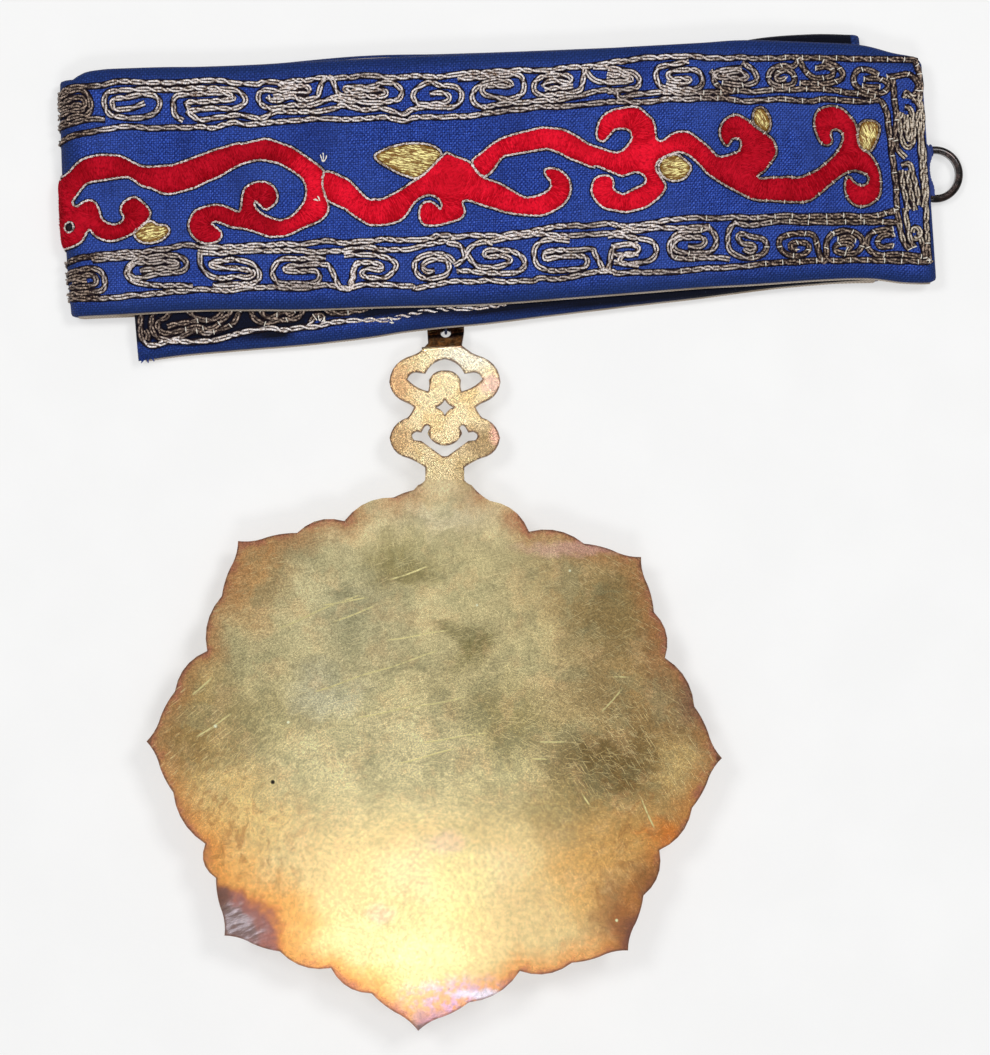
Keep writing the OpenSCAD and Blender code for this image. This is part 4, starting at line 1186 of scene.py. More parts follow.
def tie_stitch_tree():
    """A short thread bent over the cord at every step of the paths, where the cord is brown."""
    tree, given = new_tree("tie_stitches", "Stitches", {
        "Paths": "Geometry", "Step": 0.003, "Bend radius": 0.0004, "Thread radius": 0.0001,
        "Finish": "Material"})
    curve = wired("GeometryNodeMeshToCurve", {0: given["Paths"]})[0]
    spaced = resampled(curve, given["Step"])
    from_brown = sums("ABSOLUTE", sums("SUBTRACT", named(tree, "tarnish"), tie_brown))
    browned = compared("LESS_THAN", from_brown, tie_brown_reach)
    left_right = axes(tree.nodes.new("GeometryNodeInputPosition").outputs[0])[0]
    clear_of_fold = compared("GREATER_THAN", left_right, tie_left_end * MM)
    shown = wired("FunctionNodeBooleanMath", {0: browned, 1: clear_of_fold}, operation="AND")[0]
    arc = wired("GeometryNodeCurveArc",
                {"Resolution": 6, "Radius": given["Bend radius"], "Sweep Angle": math.pi})[0]
    stitch = tube(arc, circle(tree, 4, given["Thread radius"]))
    upright = (math.pi / 2, 0, math.pi / 2)
    stood = wired("GeometryNodeTransform", {"Geometry": stitch, "Rotation": upright})[0]
    tangent = tree.nodes.new("GeometryNodeInputTangent").outputs[0]
    turned = turned_to(named(tree, "up", "FLOAT_VECTOR"), tangent)
    placed = wired("GeometryNodeInstanceOnPoints",
                   {"Points": spaced, "Selection": shown, "Instance": stood, "Rotation": turned})[0]
    return end_tree(tree, placed, given["Finish"])


silvered, tree, shader, place = new_finish("silvered_thread")
high, brown, travelled = (kept_value(tree, name) for name in ("height", "tarnish", "travelled"))
turns = sums("MULTIPLY", sums("DIVIDE", travelled, MM), math.tau / wrapping_pitch)
wrapping = sums("SINE", sums("ADD", turns, sums("MULTIPLY", grain(place, 0.9, 2.0), 12.0)))
# painted highlights: pale and near-white flecks along the strands stand in for glints of light, warmer
# towards the ring end
glints = grain(place, 2.1, 3.0, 0.75)
worn = grain(place, 0.75, 3.0, 0.6)
hue = grain(place, 0.9, 1.0, 0.5, colour=True)
hue = blend(0.35, linear(236, 220, 208), hue)
golden = step(axes(place)[0], 40, 66)
pale = blend(golden, blend(0.25, linear(252, 230, 214), hue), linear(242, 220, 190))
bright = blend(step(glints, 0.4, 0.45), linear(92, 68, 54), pale)
glitter = blend(golden, linear(255, 248, 248), linear(255, 247, 230))
bright = blend(step(glints, 0.47, 0.52), bright, glitter)
bright = blend(step(worn, 0.55, 0.66, 0.0, 0.65), bright, linear(122, 90, 64))
dark = blend(step(glints, 0.46, 0.6), linear(56, 38, 30), linear(196, 170, 150))
metal = blend(sums("MINIMUM", brown, 1.0), bright, dark)
metal = blend(step(wrapping, -0.3, -0.95, 0.0, 0.22), metal, linear(70, 48, 40))
# painted shade: the low side of each strand is darkened
metal = blend(step(high, -0.4, -0.95, 0.0, 0.55), metal, linear(44, 28, 22))
# painted shade: tarnish values above 1 darken the thread nearly to black
metal = blend(step(brown, 1.0, 1.6, 0.0, 0.75), metal, linear(26, 18, 18))
fill(shader, {"Base Color": metal, "Metallic": 0.1, "Roughness": 0.36})
bump(shader, sums("ADD", wrapping, glints), 0.06, 0.9)

# the core's finish: dark silk, and beside each cord a painted shadow
silk_core, tree, shader, place = new_finish("dark_silk_core_and_shadow")
fibres = grain(place, 2.2, 3.0, 0.7)
silk = blend(step(fibres, 0.4, 0.7), linear(16, 12, 26), linear(58, 44, 44))
fill(shader, {"Base Color": silk, "Roughness": 0.9, "Specular IOR Level": 0.1})
bump(shader, fibres, 0.08, 0.6)

tie_cotton, tree, shader, place = new_finish("pale_tie_cotton")
pale = blend(grain(place, 2.0), linear(214, 206, 190), linear(250, 246, 236))
fill(shader, {"Base Color": pale, "Roughness": 0.7, "Sheen Weight": 0.1})

cord_tree = twisted_cord_tree()
tie_tree = tie_stitch_tree()
cord_lift = strand_radius + height_spread - cord_sink
cord_sizes = {"Strand radius": strand_radius * MM, "Side spread": side_spread * MM,
              "Height spread": height_spread * MM, "Twist length": twist_length * MM,
              "Core half width": core_half_width * MM, "Core half height": core_half_height * MM,
              "Core drop": -(cord_lift - core_half_height) * MM,
              "Finish": silvered, "Core finish": silk_core}
tie_sizes = {"Step": 3.1 * MM, "Bend radius": 0.42 * MM, "Thread radius": 0.1 * MM,
             "Finish": tie_cotton}
cord_and_ties = (("_cord", cord_tree, cord_sizes), ("_ties", tie_tree, tie_sizes))


def sewn(name, kinds, lines, lift, wander, **ways):
    """Pieces of each kind (the name's ending, the tree and its values) made along the same lines."""
    path = thread_paths(name + "_path", lines, lift, wander, **ways)
    pieces = [made_by(tree, path, name + ending, values) for ending, tree, values in kinds]
    bpy.data.objects.remove(path)
    return pieces


def sew_down(*pieces):
    """Counts pieces as sewn on the band, which they move with."""
    for piece in pieces:
        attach(piece, "root")


def couched(name, lines, **ways):
    """One piece of twisted cord along the lines, with the stitches that tie it down."""
    sew_down(*sewn(name, cord_and_ties, lines, cord_lift, cord_wander, **ways))


couched("upper_frame", [upper_outer_line, upper_inner_line, upper_doubled_left, upper_doubled_middle,
                        upper_doubled_right])
couched("lower_frame", [lower_inner_line, lower_doubled_left, lower_doubled_middle, lower_doubled_right,
                        lower_outer_line])
couched("upper_border", top_scrolls)
couched("lower_border", bottom_scrolls)
couched("ring_end", end_scrolls)


def under_top_wing(x, y, lift):
    """The place on the lower wing, which the cords follow on beneath the edge of the top wing."""
    return Vector((x, y, under_wing_z + cloth_thick / 2 + lift)), Vector((0, 0, 1))


def strip_tarnish_and_shade(x, y):
    """The scrolls on the lower wing are tarnished and painted darker for the shade under the top wing's
    edge; its frame line is still bright.
    """
    return min(max((y - 34.7 - (x + 66) * 0.125) / 0.5, 0), 0.95)


lower_wing_cords = [
    [(-67.8, 40.3), (-68.2, 38.7), (-68.2, 36.8), (-67.8, 35.2), (-66.9, 34.1), (-65.4, 34.1),
     (-63.8, 34.6), (-61.6, 34.8), (-56.8, 34.8), (-48.7, 36.6), (-44.7, 37.2), (-41.6, 37),
     (-35.6, 37.7), (-30.6, 38.6), (-29.1, 38.7), (-27.3, 38.5), (-25.1, 38.9), (-22, 38.8),
     (-18.7, 39.7), (-15, 40.3), (-11, 40.8), (-5.9, 41), (-1.1, 41.7)],
    [(-67.4, 37), (-66.9, 36.1), (-67.1, 35.2)],
    [(-65.6, 40.3), (-66.2, 38.8), (-66.2, 37.4), (-65.4, 36.1), (-64, 35.2), (-62.1, 35.2),
     (-59, 36.5), (-57.5, 36.6), (-55.9, 36.3), (-52.6, 37.3), (-51.3, 38.1), (-50.6, 39),
     (-50.2, 40.5)],
    [(-62.7, 40.3), (-63.6, 39.2), (-64.7, 38.7), (-65.1, 37.6), (-64.1, 36.5), (-62.3, 36.5),
     (-58.5, 37.3), (-56.4, 37.1), (-54.6, 37.6), (-52.2, 39.4), (-51.7, 40.5)],
    [(-59.4, 40.5), (-58.6, 39.4), (-57.2, 38.7), (-55.3, 38.7), (-53.9, 39.4), (-53.1, 40.5)],
    [(-63.4, 37.6), (-59.7, 38.3), (-57.9, 38.5)],
    [(-47.8, 40.7), (-47.6, 39.6), (-46.9, 38.7), (-45.3, 38.1), (-43.4, 38.6), (-39.9, 39),
     (-38.8, 39.8), (-38.5, 40.9)],
    [(-46.2, 40.5), (-45.4, 39.4), (-43.6, 39.4), (-42.3, 40.1), (-40.9, 39.6), (-39.9, 40.5)],
    [(-37.2, 37.7), (-36.5, 39), (-35.7, 39.8), (-34.8, 39.2), (-35.2, 38.3)],
    [(-34.3, 40.9), (-33.4, 40.3), (-30.4, 40.1), (-25.7, 41)],
]
couched("lower_wing", lower_wing_cords, place_at=under_top_wing, tone=strip_tarnish_and_shade)

# ---------------------------------------------------------------------------------------------
# Vine: a scrolling stem in red floss, padded and filled with short close stitches that lie
# across it, and edged with a thinner twisted thread of the same silvered metal.

rim_lift = 0.12
crown_lift = 0.85
slope_reach = 2.0
fill_pitch = 0.75
row_share, rim_share = 0.87, 0.6
outline_pitch, middle_pitch = 0.7, 0.8
cushion_sink = 0.1
ways_asked = 5

# outlines of its three lengths, then the middle lines that the stitches cross
left_vine = [
    (-83.7, 63.3), (-81.4, 65.3), (-80, 67), (-78.4, 68.2), (-76.5, 68.8), (-74.4, 68.9),
    (-72.3, 68.8), (-70.6, 68.2), (-69, 67.3), (-67.4, 66.7), (-63.2, 67), (-61.1, 67.4),
    (-51.3, 70.8), (-49.2, 70.9), (-46.4, 71.6), (-44.6, 71.7), (-41.1, 70.6), (-39.4, 69.7),
    (-35.1, 66.6), (-34.5, 65.4), (-34.7, 63.3), (-34.3, 61.8), (-33.7, 60.3), (-33.6, 59.3),
    (-33.9, 58.2), (-34.8, 57.2), (-36.2, 56.4), (-41.1, 54.2), (-43.2, 53.9), (-45, 54),
    (-49.2, 55.3), (-51.3, 55.6), (-54.1, 56.6), (-54.9, 56.2), (-53.3, 54.9), (-53.2, 53.9),
    (-54.1, 53), (-55.8, 52.6), (-57.5, 53.2), (-58.7, 54.4), (-59.3, 56.1), (-58.8, 57.7),
    (-57.8, 58.8), (-56, 59.5), (-54.1, 59.8), (-52.3, 59.4), (-50.2, 58.5), (-49.7, 59.1),
    (-49.2, 62.3), (-48.3, 63.4), (-46.7, 64), (-45, 63.9), (-43.6, 63), (-43, 61.6), (-43.3, 60.2),
    (-44.3, 59.1), (-45.1, 58.8), (-47.1, 60.3), (-47, 59.2), (-45.5, 58), (-43.6, 57.2), (-42, 57),
    (-40.4, 57.7), (-39, 58.9), (-38.1, 60.2), (-37.7, 61.9), (-38.1, 63.7), (-39.2, 65.1),
    (-42.2, 67.1), (-44.3, 67.7), (-46.4, 67.9), (-48.5, 67.5), (-50.2, 66.8), (-53.7, 64.9),
    (-57.2, 63.3), (-59, 62.6), (-62.1, 61.8), (-63.9, 61.9), (-65.6, 62.5), (-67.8, 63.3),
    (-69.5, 64.4), (-71.3, 64.8), (-77.2, 63.9), (-78.6, 63), (-79.7, 61.6), (-80.4, 60.3),
    (-79.8, 59.4), (-78.6, 60.3), (-77.5, 60.7), (-76.3, 60.2), (-75.6, 58.8), (-75.3, 57.5),
    (-74.4, 56.6), (-73, 56.2), (-71.5, 56.6), (-71, 57.5), (-71.6, 58.4), (-71.6, 59.5),
    (-70.7, 60.5), (-69.2, 61.1), (-67.8, 60.3), (-66.5, 59.1), (-66.2, 58.2), (-66.7, 57),
    (-69.2, 54.6), (-72.7, 53.3), (-74.8, 53.3), (-76.5, 54.2), (-77.5, 55.2), (-78.6, 53.5),
    (-79.7, 52.5), (-81.1, 51.8), (-82.5, 51.7), (-83.7, 51.9),
]
middle_vine = [
    (-34.5, 65.6), (-33, 65.6), (-31.3, 64.9), (-29.5, 63.9), (-26.6, 60.9), (-25.2, 60.7),
    (-23.1, 61), (-17.8, 64.1), (-16.4, 65.1), (-12.4, 68.9), (-11.4, 69.1), (-8.4, 67.8),
    (-7.4, 67.1), (-5.5, 64.9), (-2.4, 63.7), (1.8, 61.4), (3.5, 61.2), (5.3, 61.6), (6.5, 62.3),
    (7.2, 63.2), (7, 64.2), (6.2, 65.1), (6, 66), (6.7, 66.4), (8.1, 66.3), (9.7, 65.4), (10.7, 63.9),
    (10.7, 61.9), (9.7, 60.2), (8.1, 58.8), (6, 57.9), (3.5, 57.7), (-1.4, 58.5), (-8.6, 60.5),
    (-8.6, 58.4), (-9.4, 57.2), (-11.2, 56.5), (-14.7, 55.9), (-16.3, 56.3), (-17, 57.7),
    (-16.8, 59.3), (-16.1, 60.2), (-14.9, 60.3), (-13.8, 59.6), (-13.1, 58.9), (-12.9, 59.8),
    (-13.6, 60.9), (-15, 61.5), (-16.4, 61.2), (-17.7, 60.2), (-19.6, 57.7), (-20.7, 56.8),
    (-22.8, 56.1), (-24.9, 56), (-26.6, 56.3), (-30.1, 58.5), (-30.2, 58.8), (-33.7, 60.5),
    (-34.3, 61.8), (-34.7, 63.3),
]
right_vine = [
    (-7.2, 67.3), (-6.6, 68.5), (-2.8, 71.4), (-0.3, 72.4), (4.6, 73.7), (7, 73.8), (9.2, 73.5),
    (10.9, 72.8), (14.3, 70.8), (17, 69.8), (18.9, 69.4), (19.8, 69.5), (20.6, 70), (21.8, 71.5),
    (22, 72.3), (21.7, 73.1), (21, 73.6), (20.1, 73.7), (19.1, 73.6), (18.5, 73.2), (17.1, 71.5),
    (16.5, 71.3), (15.9, 71.6), (15.6, 72.4), (15.8, 74.5), (16.2, 75.5), (16.8, 76.2), (17.9, 76.8),
    (19.1, 77.3), (21.7, 77.7), (22.9, 77.6), (23.8, 77.1), (25.6, 75.5), (26.1, 74.5), (26.4, 73.6),
    (26.6, 71.8), (27.1, 71.4), (27.9, 71.6), (29.3, 72.7), (30.3, 73.1), (31.4, 73.1), (32.4, 72.9),
    (33.5, 72.3), (35.4, 70.9), (37.3, 69), (38.3, 68.6), (40.8, 69.2), (41.7, 69.6), (42, 70.6),
    (41.8, 71.6), (41.1, 71.9), (40.4, 71.8), (39.7, 70.6), (39.1, 70.8), (38.4, 72), (38.2, 73.1),
    (38.5, 74.3), (39, 75.1), (40.1, 75.9), (41.2, 76.2), (42.4, 75.7), (43.6, 75), (44.5, 74.1),
    (47.5, 72), (48.2, 70.9), (48.5, 69.6), (48.2, 68.5), (46.5, 66.2), (45, 65.1), (45.4, 64.6),
    (49.9, 64.8), (51.5, 64.7), (52.9, 64.8), (55.7, 66.1), (58.1, 67.8), (59.8, 69.7), (60.4, 70.9),
    (60.7, 72.2), (60.3, 73.2), (59.5, 73.6), (58.6, 73.4), (58.4, 72.4), (58.7, 71.4), (58.2, 70.7),
    (57.2, 70.8), (56.4, 71.5), (55.8, 72.9), (55.4, 74.3), (55.4, 75.7), (56, 76.9), (56.9, 77.5),
    (58.1, 77.8), (59.5, 77.7), (60.9, 77.1), (62, 75.9), (62.8, 74.8), (63.2, 73.6), (63.5, 71),
    (64.3, 69.9), (65.3, 69.2), (66.3, 68), (67.1, 66.6), (67.5, 65), (67.6, 63.1), (67.2, 61.2),
    (66, 60), (64.6, 59.5), (63.3, 59.6), (62.1, 60.3), (61.3, 61.5), (61, 62.9), (61.1, 64.3),
    (61.5, 64.9), (62.1, 64.7), (62.6, 64), (63.4, 63.4), (64.4, 63.2), (65.2, 63.7), (65.4, 64.6),
    (64.8, 65.4), (63.7, 65.9), (62.5, 66), (60.6, 65.2), (58.1, 63.3), (55.5, 61), (54.1, 60.4),
    (52.4, 60.2), (47.1, 60.5), (43.3, 61.1), (36.8, 64.8), (34.5, 66.9), (33.1, 68.4), (32.2, 69),
    (30.2, 69.4), (27.3, 68.2), (26.7, 67.6), (26.4, 66.8), (26.5, 65.9), (28, 63.4), (27.9, 62.4),
    (27.3, 61.5), (25.6, 59.9), (24.5, 59.3), (21.7, 58.5), (20.2, 58.5), (17.4, 59), (16.3, 59.5),
    (15.5, 60.3), (14.9, 61.4), (14.6, 62.4), (14.7, 63.5), (15.1, 64.4), (15.8, 64.9), (16.7, 65.2),
    (17.7, 65.1), (18.3, 64.7), (18.7, 63.9), (18.6, 63), (19, 62.3), (19.8, 61.9), (20.5, 61.8),
    (23.7, 63.1), (24.4, 63.7), (24.6, 64.2), (24.4, 64.9), (23.8, 65.5), (23.2, 65.7), (22.4, 65.7),
    (20.7, 65.1), (19.7, 65.1), (16, 66.7), (15.1, 66.8), (14.4, 66.6), (7.7, 69.6), (5.6, 69.9),
    (0, 68.9), (-1.7, 68.3), (-3.8, 65.8), (-5.3, 65), (-6.5, 66.1),
]
left_vine_middles = [
    [(-82.1, 52.8), (-81.8, 61.9), (-79, 65.4), (-76.5, 66.4), (-71.6, 66.6), (-67.4, 64.9),
     (-62.8, 64.4), (-60.4, 64.7), (-50.6, 68.9), (-45, 69.7), (-40.4, 67.7), (-36.9, 64.2),
     (-36.3, 59.8), (-39.4, 56.7), (-43.9, 55.6), (-51.3, 57.5), (-55.8, 57.5), (-56.9, 56.3),
     (-56.4, 54.6), (-54.8, 53.9)],
    [(-47.8, 57.4), (-48.1, 60.9), (-47.1, 62.3), (-45.3, 62.5), (-44.4, 61.2), (-44.8, 59.8)],
    [(-81.8, 52.8), (-78.4, 58.4), (-77.2, 58.1), (-74.8, 54.9), (-70.7, 55.4), (-68.3, 58.2),
     (-69.3, 59.6), (-70.6, 59.5)],
]
middle_vine_middles = [
    [(-34.3, 63.3), (-30.2, 61.4), (-27.3, 58.6), (-25.2, 58.2), (-21, 59.6), (-17.1, 63),
     (-11.9, 64.4), (-9.1, 64), (2.1, 59.5), (4.9, 59.6), (7.4, 60.7), (8.8, 62.3), (9, 64),
     (7.7, 65.6), (6.5, 65.8)],
    [(-11.9, 68.2), (-10.8, 65.4), (-10.8, 60.2), (-12.6, 58.1), (-14.7, 57.9), (-15.6, 58.9)],
]
right_vine_middles = [
    [(-6.3, 66.1), (-2.1, 69.8), (3.5, 71.6), (8.8, 71.5), (19, 67.4), (22.4, 68), (30.2, 71.3),
     (31.8, 71.1), (37.5, 66.8), (46.6, 62.6), (53.1, 62.7), (61.3, 67.5), (64.8, 67.3), (66, 65.9),
     (66.2, 62.2), (64.8, 61), (63.2, 61.2), (61.7, 64)],
    [(23.7, 67.8), (24.1, 72.8), (23.3, 75.4), (22.2, 75.9), (18.3, 75.1), (17.1, 74.1), (16.3, 71.7)],
    [(24.5, 67.8), (26.1, 63.5), (24.9, 61.4), (21.8, 60.3), (18.5, 60.6), (16.4, 62.3), (16.6, 63.5),
     (17.7, 64.2)],
    [(43.3, 65), (44.7, 68.7), (44, 72.2), (41, 74.3), (39.6, 73.8), (39.6, 71.3)],
    [(61.3, 68), (61.8, 72), (60.4, 75.5), (57.1, 75.5), (56.7, 73.8), (57.8, 71.3)],
]


def inner_points(border, rim):
    """Staggered rows of points inside a border, clear of its rim."""
    inner = []
    low_x, high_x = min(p.x for p in border), max(p.x for p in border)
    low_y, high_y = min(p.y for p in border), max(p.y for p in border)
    row = 0
    y = low_y
    while y < high_y:
        x = low_x + (row % 2) * fill_pitch / 2
        while x < high_x:
            inside = False
            for a, b in zip(border[-1:] + border[:-1], border):
                if (a.y > y) != (b.y > y) and x < a.x + (b.x - a.x) * (y - a.y) / (b.y - a.y):
                    inside = not inside
            if inside and rim.find((x, y, 0))[2] > fill_pitch * rim_share:
                inner.append(Vector((x, y)))
            x += fill_pitch
        y += fill_pitch * row_share
        row += 1
    return inner


def padded_shape(name, outline, middles, crown, reach, fixed_lay=(0, 0)):
    """A low cushion over the outline, laid on the band, that knows its stitches' lie and its depth."""
    border = smooth_line(outline, outline_pitch, closed=True)
    rim = finder(border)
    count = len(border)
    edges = [(k, (k + 1) % count) for k in range(count)]
    points, _, faces, *_ = delaunay_2d_cdt(border + inner_points(border, rim), edges, [], 1, 1e-5)
    lie = []
    for middle in middles:
        curve = smooth_line(middle, middle_pitch)
        for a, b in zip(curve, curve[1:]):
            lie.append(((a + b) / 2, (b - a).normalized()))
    ways = finder([point for point, _ in lie])
    top, bottom, lays, rooms = [], [], [], []
    for point in points:
        room = rim.find((point.x, point.y, 0))[2]
        deep = min(room / reach, 1)
        lift = rim_lift + (crown - rim_lift) * math.sqrt(1 - (1 - deep) ** 2)
        swell = 1 + 0.12 * noise.noise(Vector((point.x / 2.3, point.y / 2.3, 0)))
        top.append(lay_on(point.x, point.y, lift * swell)[0] * MM)
        bottom.append(lay_on(point.x, point.y, -cushion_sink)[0] * MM)
        across = Vector(fixed_lay)
        for _, number, _ in ways.find_n((point.x, point.y, 0), ways_asked) if middles else ():
            stood = Vector((-lie[number][1].y, lie[number][1].x))
            across += stood if stood.dot(across) >= 0 else -stood
        across.normalize()
        lays.append((across.x, across.y, 0))
        rooms.append(room)
    total = len(points)
    shell = [tuple(face) for face in faces]
    shell += [tuple(i + total for i in reversed(face)) for face in faces]
    sides = [(face[i - 3], face[i - 2]) for face in faces for i in range(3)]
    shared = set(sides)
    shell += [(b, a, a + total, b + total) for a, b in sides if (b, a) not in shared]
    data = bpy.data.meshes.new(name)
    data.from_pydata(top + bottom, [], shell)
    data.attributes.new("lay", "FLOAT_VECTOR", "POINT").data.foreach_set(
        "vector", [value for lay in lays + lays for value in lay])
    data.attributes.new("room", "FLOAT", "POINT").data.foreach_set("value", rooms + [0.0] * total)
    shape = bmesh.new()
    shape.from_mesh(data)
    bmesh.ops.recalc_face_normals(shape, faces=shape.faces)
    shape.to_mesh(data)
    shape.free()
    data.shade_smooth()
    return put(name, data)


def chance(tree, low, high, seed):
    """A value drawn for each stitch."""
    return add(tree, "FunctionNodeRandomValue", {2: low, 3: high, "Seed": seed}).outputs[1]


def ramp(value, low, high, below):
    """A straight ramp from a share to 1 as the value goes from low to high."""
    return wired("ShaderNodeMapRange", {"Value": value, 1: low, 2: high, 3: below, 4: 1.0})[0]


def floss_tree():
    """Short lens-shaped stitches strewn close over a cushion, each along the cushion's own lie."""
    tree, given = new_tree("floss_stitches", "Stitches", {
        "Cushion": "Geometry", "Stitches per square metre": 2.2e6, "Length": 0.0024, "Width": 0.0003,
        "Thickness": 0.0002, "Finish": "Material"})
    room = named(tree, "room")
    scattered = {"Mesh": given["Cushion"], "Selection": compared("GREATER_THAN", room, 0.12),
                 "Density": given["Stitches per square metre"], "Seed": 11}
    spread = wired("GeometryNodeDistributePointsOnFaces", scattered, distribute_method="RANDOM")
    turned = turned_to(spread["Normal"], named(tree, "lay", "FLOAT_VECTOR"))
    sway = wired("ShaderNodeCombineXYZ", {2: chance(tree, -0.1, 0.1, 5)})[0]
    turned = wired("FunctionNodeRotateRotation", {0: turned, 1: sway}, rotation_space="LOCAL")[0]
    length = sums("MULTIPLY", ramp(room, 0.1, 1.3, 0.3), chance(tree, 0.75, 1.15, 8))
    lens = add(tree, "GeometryNodeMeshUVSphere", {"Segments": 6, "Rings": 4, "Radius": 0.5}).outputs[0]
    size = joined_up(given["Length"], given["Width"], given["Thickness"])
    lens = wired("GeometryNodeTransform", {"Geometry": lens, "Scale": size})[0]
    stitches = {"Points": spread["Points"], "Instance": lens, "Rotation": turned,
                "Scale": joined_up(length, 1.0, 1.0)}
    placed = wired("GeometryNodeInstanceOnPoints", stitches)[0]
    # each stitch gets a random tone, and painted shade darkens the stitches near the cushion's rim
    shade = sums("MULTIPLY", chance(tree, 0.0, 1.0, 3), ramp(room, 0.15, 0.8, 0.35))
    return end_tree(tree, store(placed, "tone", shade, "INSTANCE"), given["Finish"])


floss, tree, shader, place = new_finish("red_floss")
red = blend(kept_value(tree, "tone"), linear(166, 6, 24), linear(212, 24, 46))
red = blend(step(grain(place, 0.22, 4.0, 0.6), 0.4, 0.62, 0.0, 0.7), red, linear(214, 22, 46))
red = blend(step(grain(place, 1.8, 3.0, 0.7), 0.5, 0.66, 0.0, 0.5), red, linear(120, 4, 18))
red = blend(step(grain(place, 0.13, 3.0, 0.5), 0.5, 0.64, 0.0, 0.45), red, linear(150, 8, 20))
left_right = axes(place)[0]
in_middle = sums("MULTIPLY", step(left_right, -46, -36), step(left_right, 40, 30))
red = dimmed(red, step(in_middle, 0.0, 1.0, 0.8, 1.3))
fill(shader, {"Base Color": red, "Roughness": 0.75, "Specular IOR Level": 0.03})
bump(shader, grain(place, 6.0, 2.0), 0.05, 0.6)

stitch_tree = floss_tree()
floss_sizes = {"Stitches per square metre": 4.6e6, "Length": 2.1 * MM, "Width": 0.24 * MM,
               "Thickness": 0.15 * MM, "Finish": floss}
edge_sizes = {"Strand radius": 0.12 * MM, "Side spread": 0.1 * MM, "Height spread": 0.09 * MM,
              "Twist length": 1.9 * MM, "Core half width": 0.38 * MM, "Core half height": 0.12 * MM,
              "Core drop": -0.12 * MM, "Finish": silvered, "Core finish": silk_core}
edge_tie_sizes = {"Step": 3.4 * MM, "Bend radius": 0.3 * MM, "Thread radius": 0.08 * MM,
                  "Finish": tie_cotton}
plain_edge = (("_edge", cord_tree, edge_sizes),)
tied_edge = plain_edge + (("_edge_ties", tie_tree, edge_tie_sizes),)
edge_lift = 0.3


def edge_tarnish(x, y):
    """The outline thread is bright to the left and browner towards the ring end."""
    return min(max((x - 22) / 30, 0.2 + 0.3 * noise.noise(Vector((x / 4, y / 4, 2.2)))), 0.8)


def embroidered(name, ending, cushion, sizes, outline, edge, wander):
    """Covers a cushion with stitches, lays thread round its outline and sews all of it down."""
    stitches = made_by(stitch_tree, cushion, name + ending, sizes)
    cushion.data.materials.append(sizes["Finish"])
    rim = sewn(name, edge, [outline], edge_lift, wander, closed=True, tone=edge_tarnish)
    sew_down(cushion, stitches, *rim)


# pale ties show only where the outline is brown, near the ring
for name, outline, middles, edge in (("left_vine", left_vine, left_vine_middles, plain_edge),
                                     ("middle_vine", middle_vine, middle_vine_middles, plain_edge),
                                     ("right_vine", right_vine, right_vine_middles, tied_edge)):
    cushion = padded_shape(name + "_padding", outline, middles, crown_lift, slope_reach)
    embroidered(name, "_floss", cushion, floss_sizes, outline, edge, 0.2)

# an oval gap in the satin stitch beside the left fold, where the navy ground shows
gap_x, gap_y, gap_half_width, gap_half_height = -80.5, 55.7, 0.55, 0.95
gap_corners = 14
gap_lift = 0.95
gap_rim = [(gap_x + gap_half_width * math.cos(around), gap_y + gap_half_height * math.sin(around))
           for around in (math.tau * k / gap_corners for k in range(gap_corners))]
points = [lay_on(x, y, gap_lift)[0] * MM for x, y in gap_rim]
points += [lay_on(gap_x, gap_y, height)[0] * MM for height in (1.02, 0.4)]
sides = [(k, (k + 1) % gap_corners) for k in range(gap_corners)]
faces = [(a, b, gap_corners) for a, b in sides] + [(b, a, gap_corners + 1) for a, b in sides]
data = bpy.data.meshes.new("vine_gap")
data.from_pydata(points, [], faces)
data.materials.append(silk_core)
data.shade_smooth()
gap = put("vine_gap", data)
rim = sewn("vine_gap", plain_edge, [gap_rim], gap_lift, 0.1, closed=True, tone=lambda x, y: 0.25)
sew_down(gap, *rim)

# ---------------------------------------------------------------------------------------------
# Leaves: small leaf shapes beside the vine, filled with rows of gilt thread. They are edged
# with the same thin twisted thread as the vine.

leaf_lift = 0.6
leaf_reach = 1.4
long_leaf = [
    (-25.2, 68.6), (-23.8, 69.6), (-21.4, 70.5), (-18.5, 71), (-16.4, 71), (-14.3, 70.3), (-12.9, 69),
    (-14, 67.5), (-15.7, 65.8), (-17.5, 64.6), (-19.6, 65.1), (-21.7, 66), (-23.8, 67.2),
]
small_leaf = [
    (-69.3, 54.5), (-68.8, 55.4), (-66.4, 56.8), (-64.9, 56.1), (-63.2, 55.8), (-62.7, 54.9),
    (-63.5, 53.9), (-64.9, 53), (-66.7, 52.7), (-68.5, 53.2),
]
round_leaf = [
    (26.9, 66.8), (27.3, 67.7), (28, 68.4), (29.1, 68.8), (30.3, 68.9), (32.3, 67.6), (32.9, 66.5),
    (32.4, 65.5), (31.6, 64.6), (30.3, 64.1), (28.8, 64.2), (27.7, 64.9), (27.1, 65.8),
]
top_leaf = [
    (44.2, 75.9), (44.5, 77.1), (45.4, 77.6), (46.4, 77.2), (47.1, 75.9), (47.4, 74.5), (47.2, 73.4),
    (46.5, 72.9), (44.7, 74.3), (44.2, 75.1),
]
end_leaf = [
    (63.4, 73), (63.8, 74.5), (64.8, 75.2), (66.2, 75.1), (67.2, 74.5), (67.4, 73.4), (67, 72),
    (66.4, 70.6), (65.7, 69.6), (64.6, 69.5), (63.7, 70.3), (63.3, 71.6),
]
gilt_floss, tree, shader, place = new_finish("gilt_floss")
gold = blend(step(kept_value(tree, "tone"), 0.15, 0.8), linear(134, 94, 28), linear(255, 244, 168))
gold = blend(step(grain(place, 2.4, 3.0, 0.7), 0.52, 0.66, 0.0, 0.6), gold, linear(92, 62, 20))
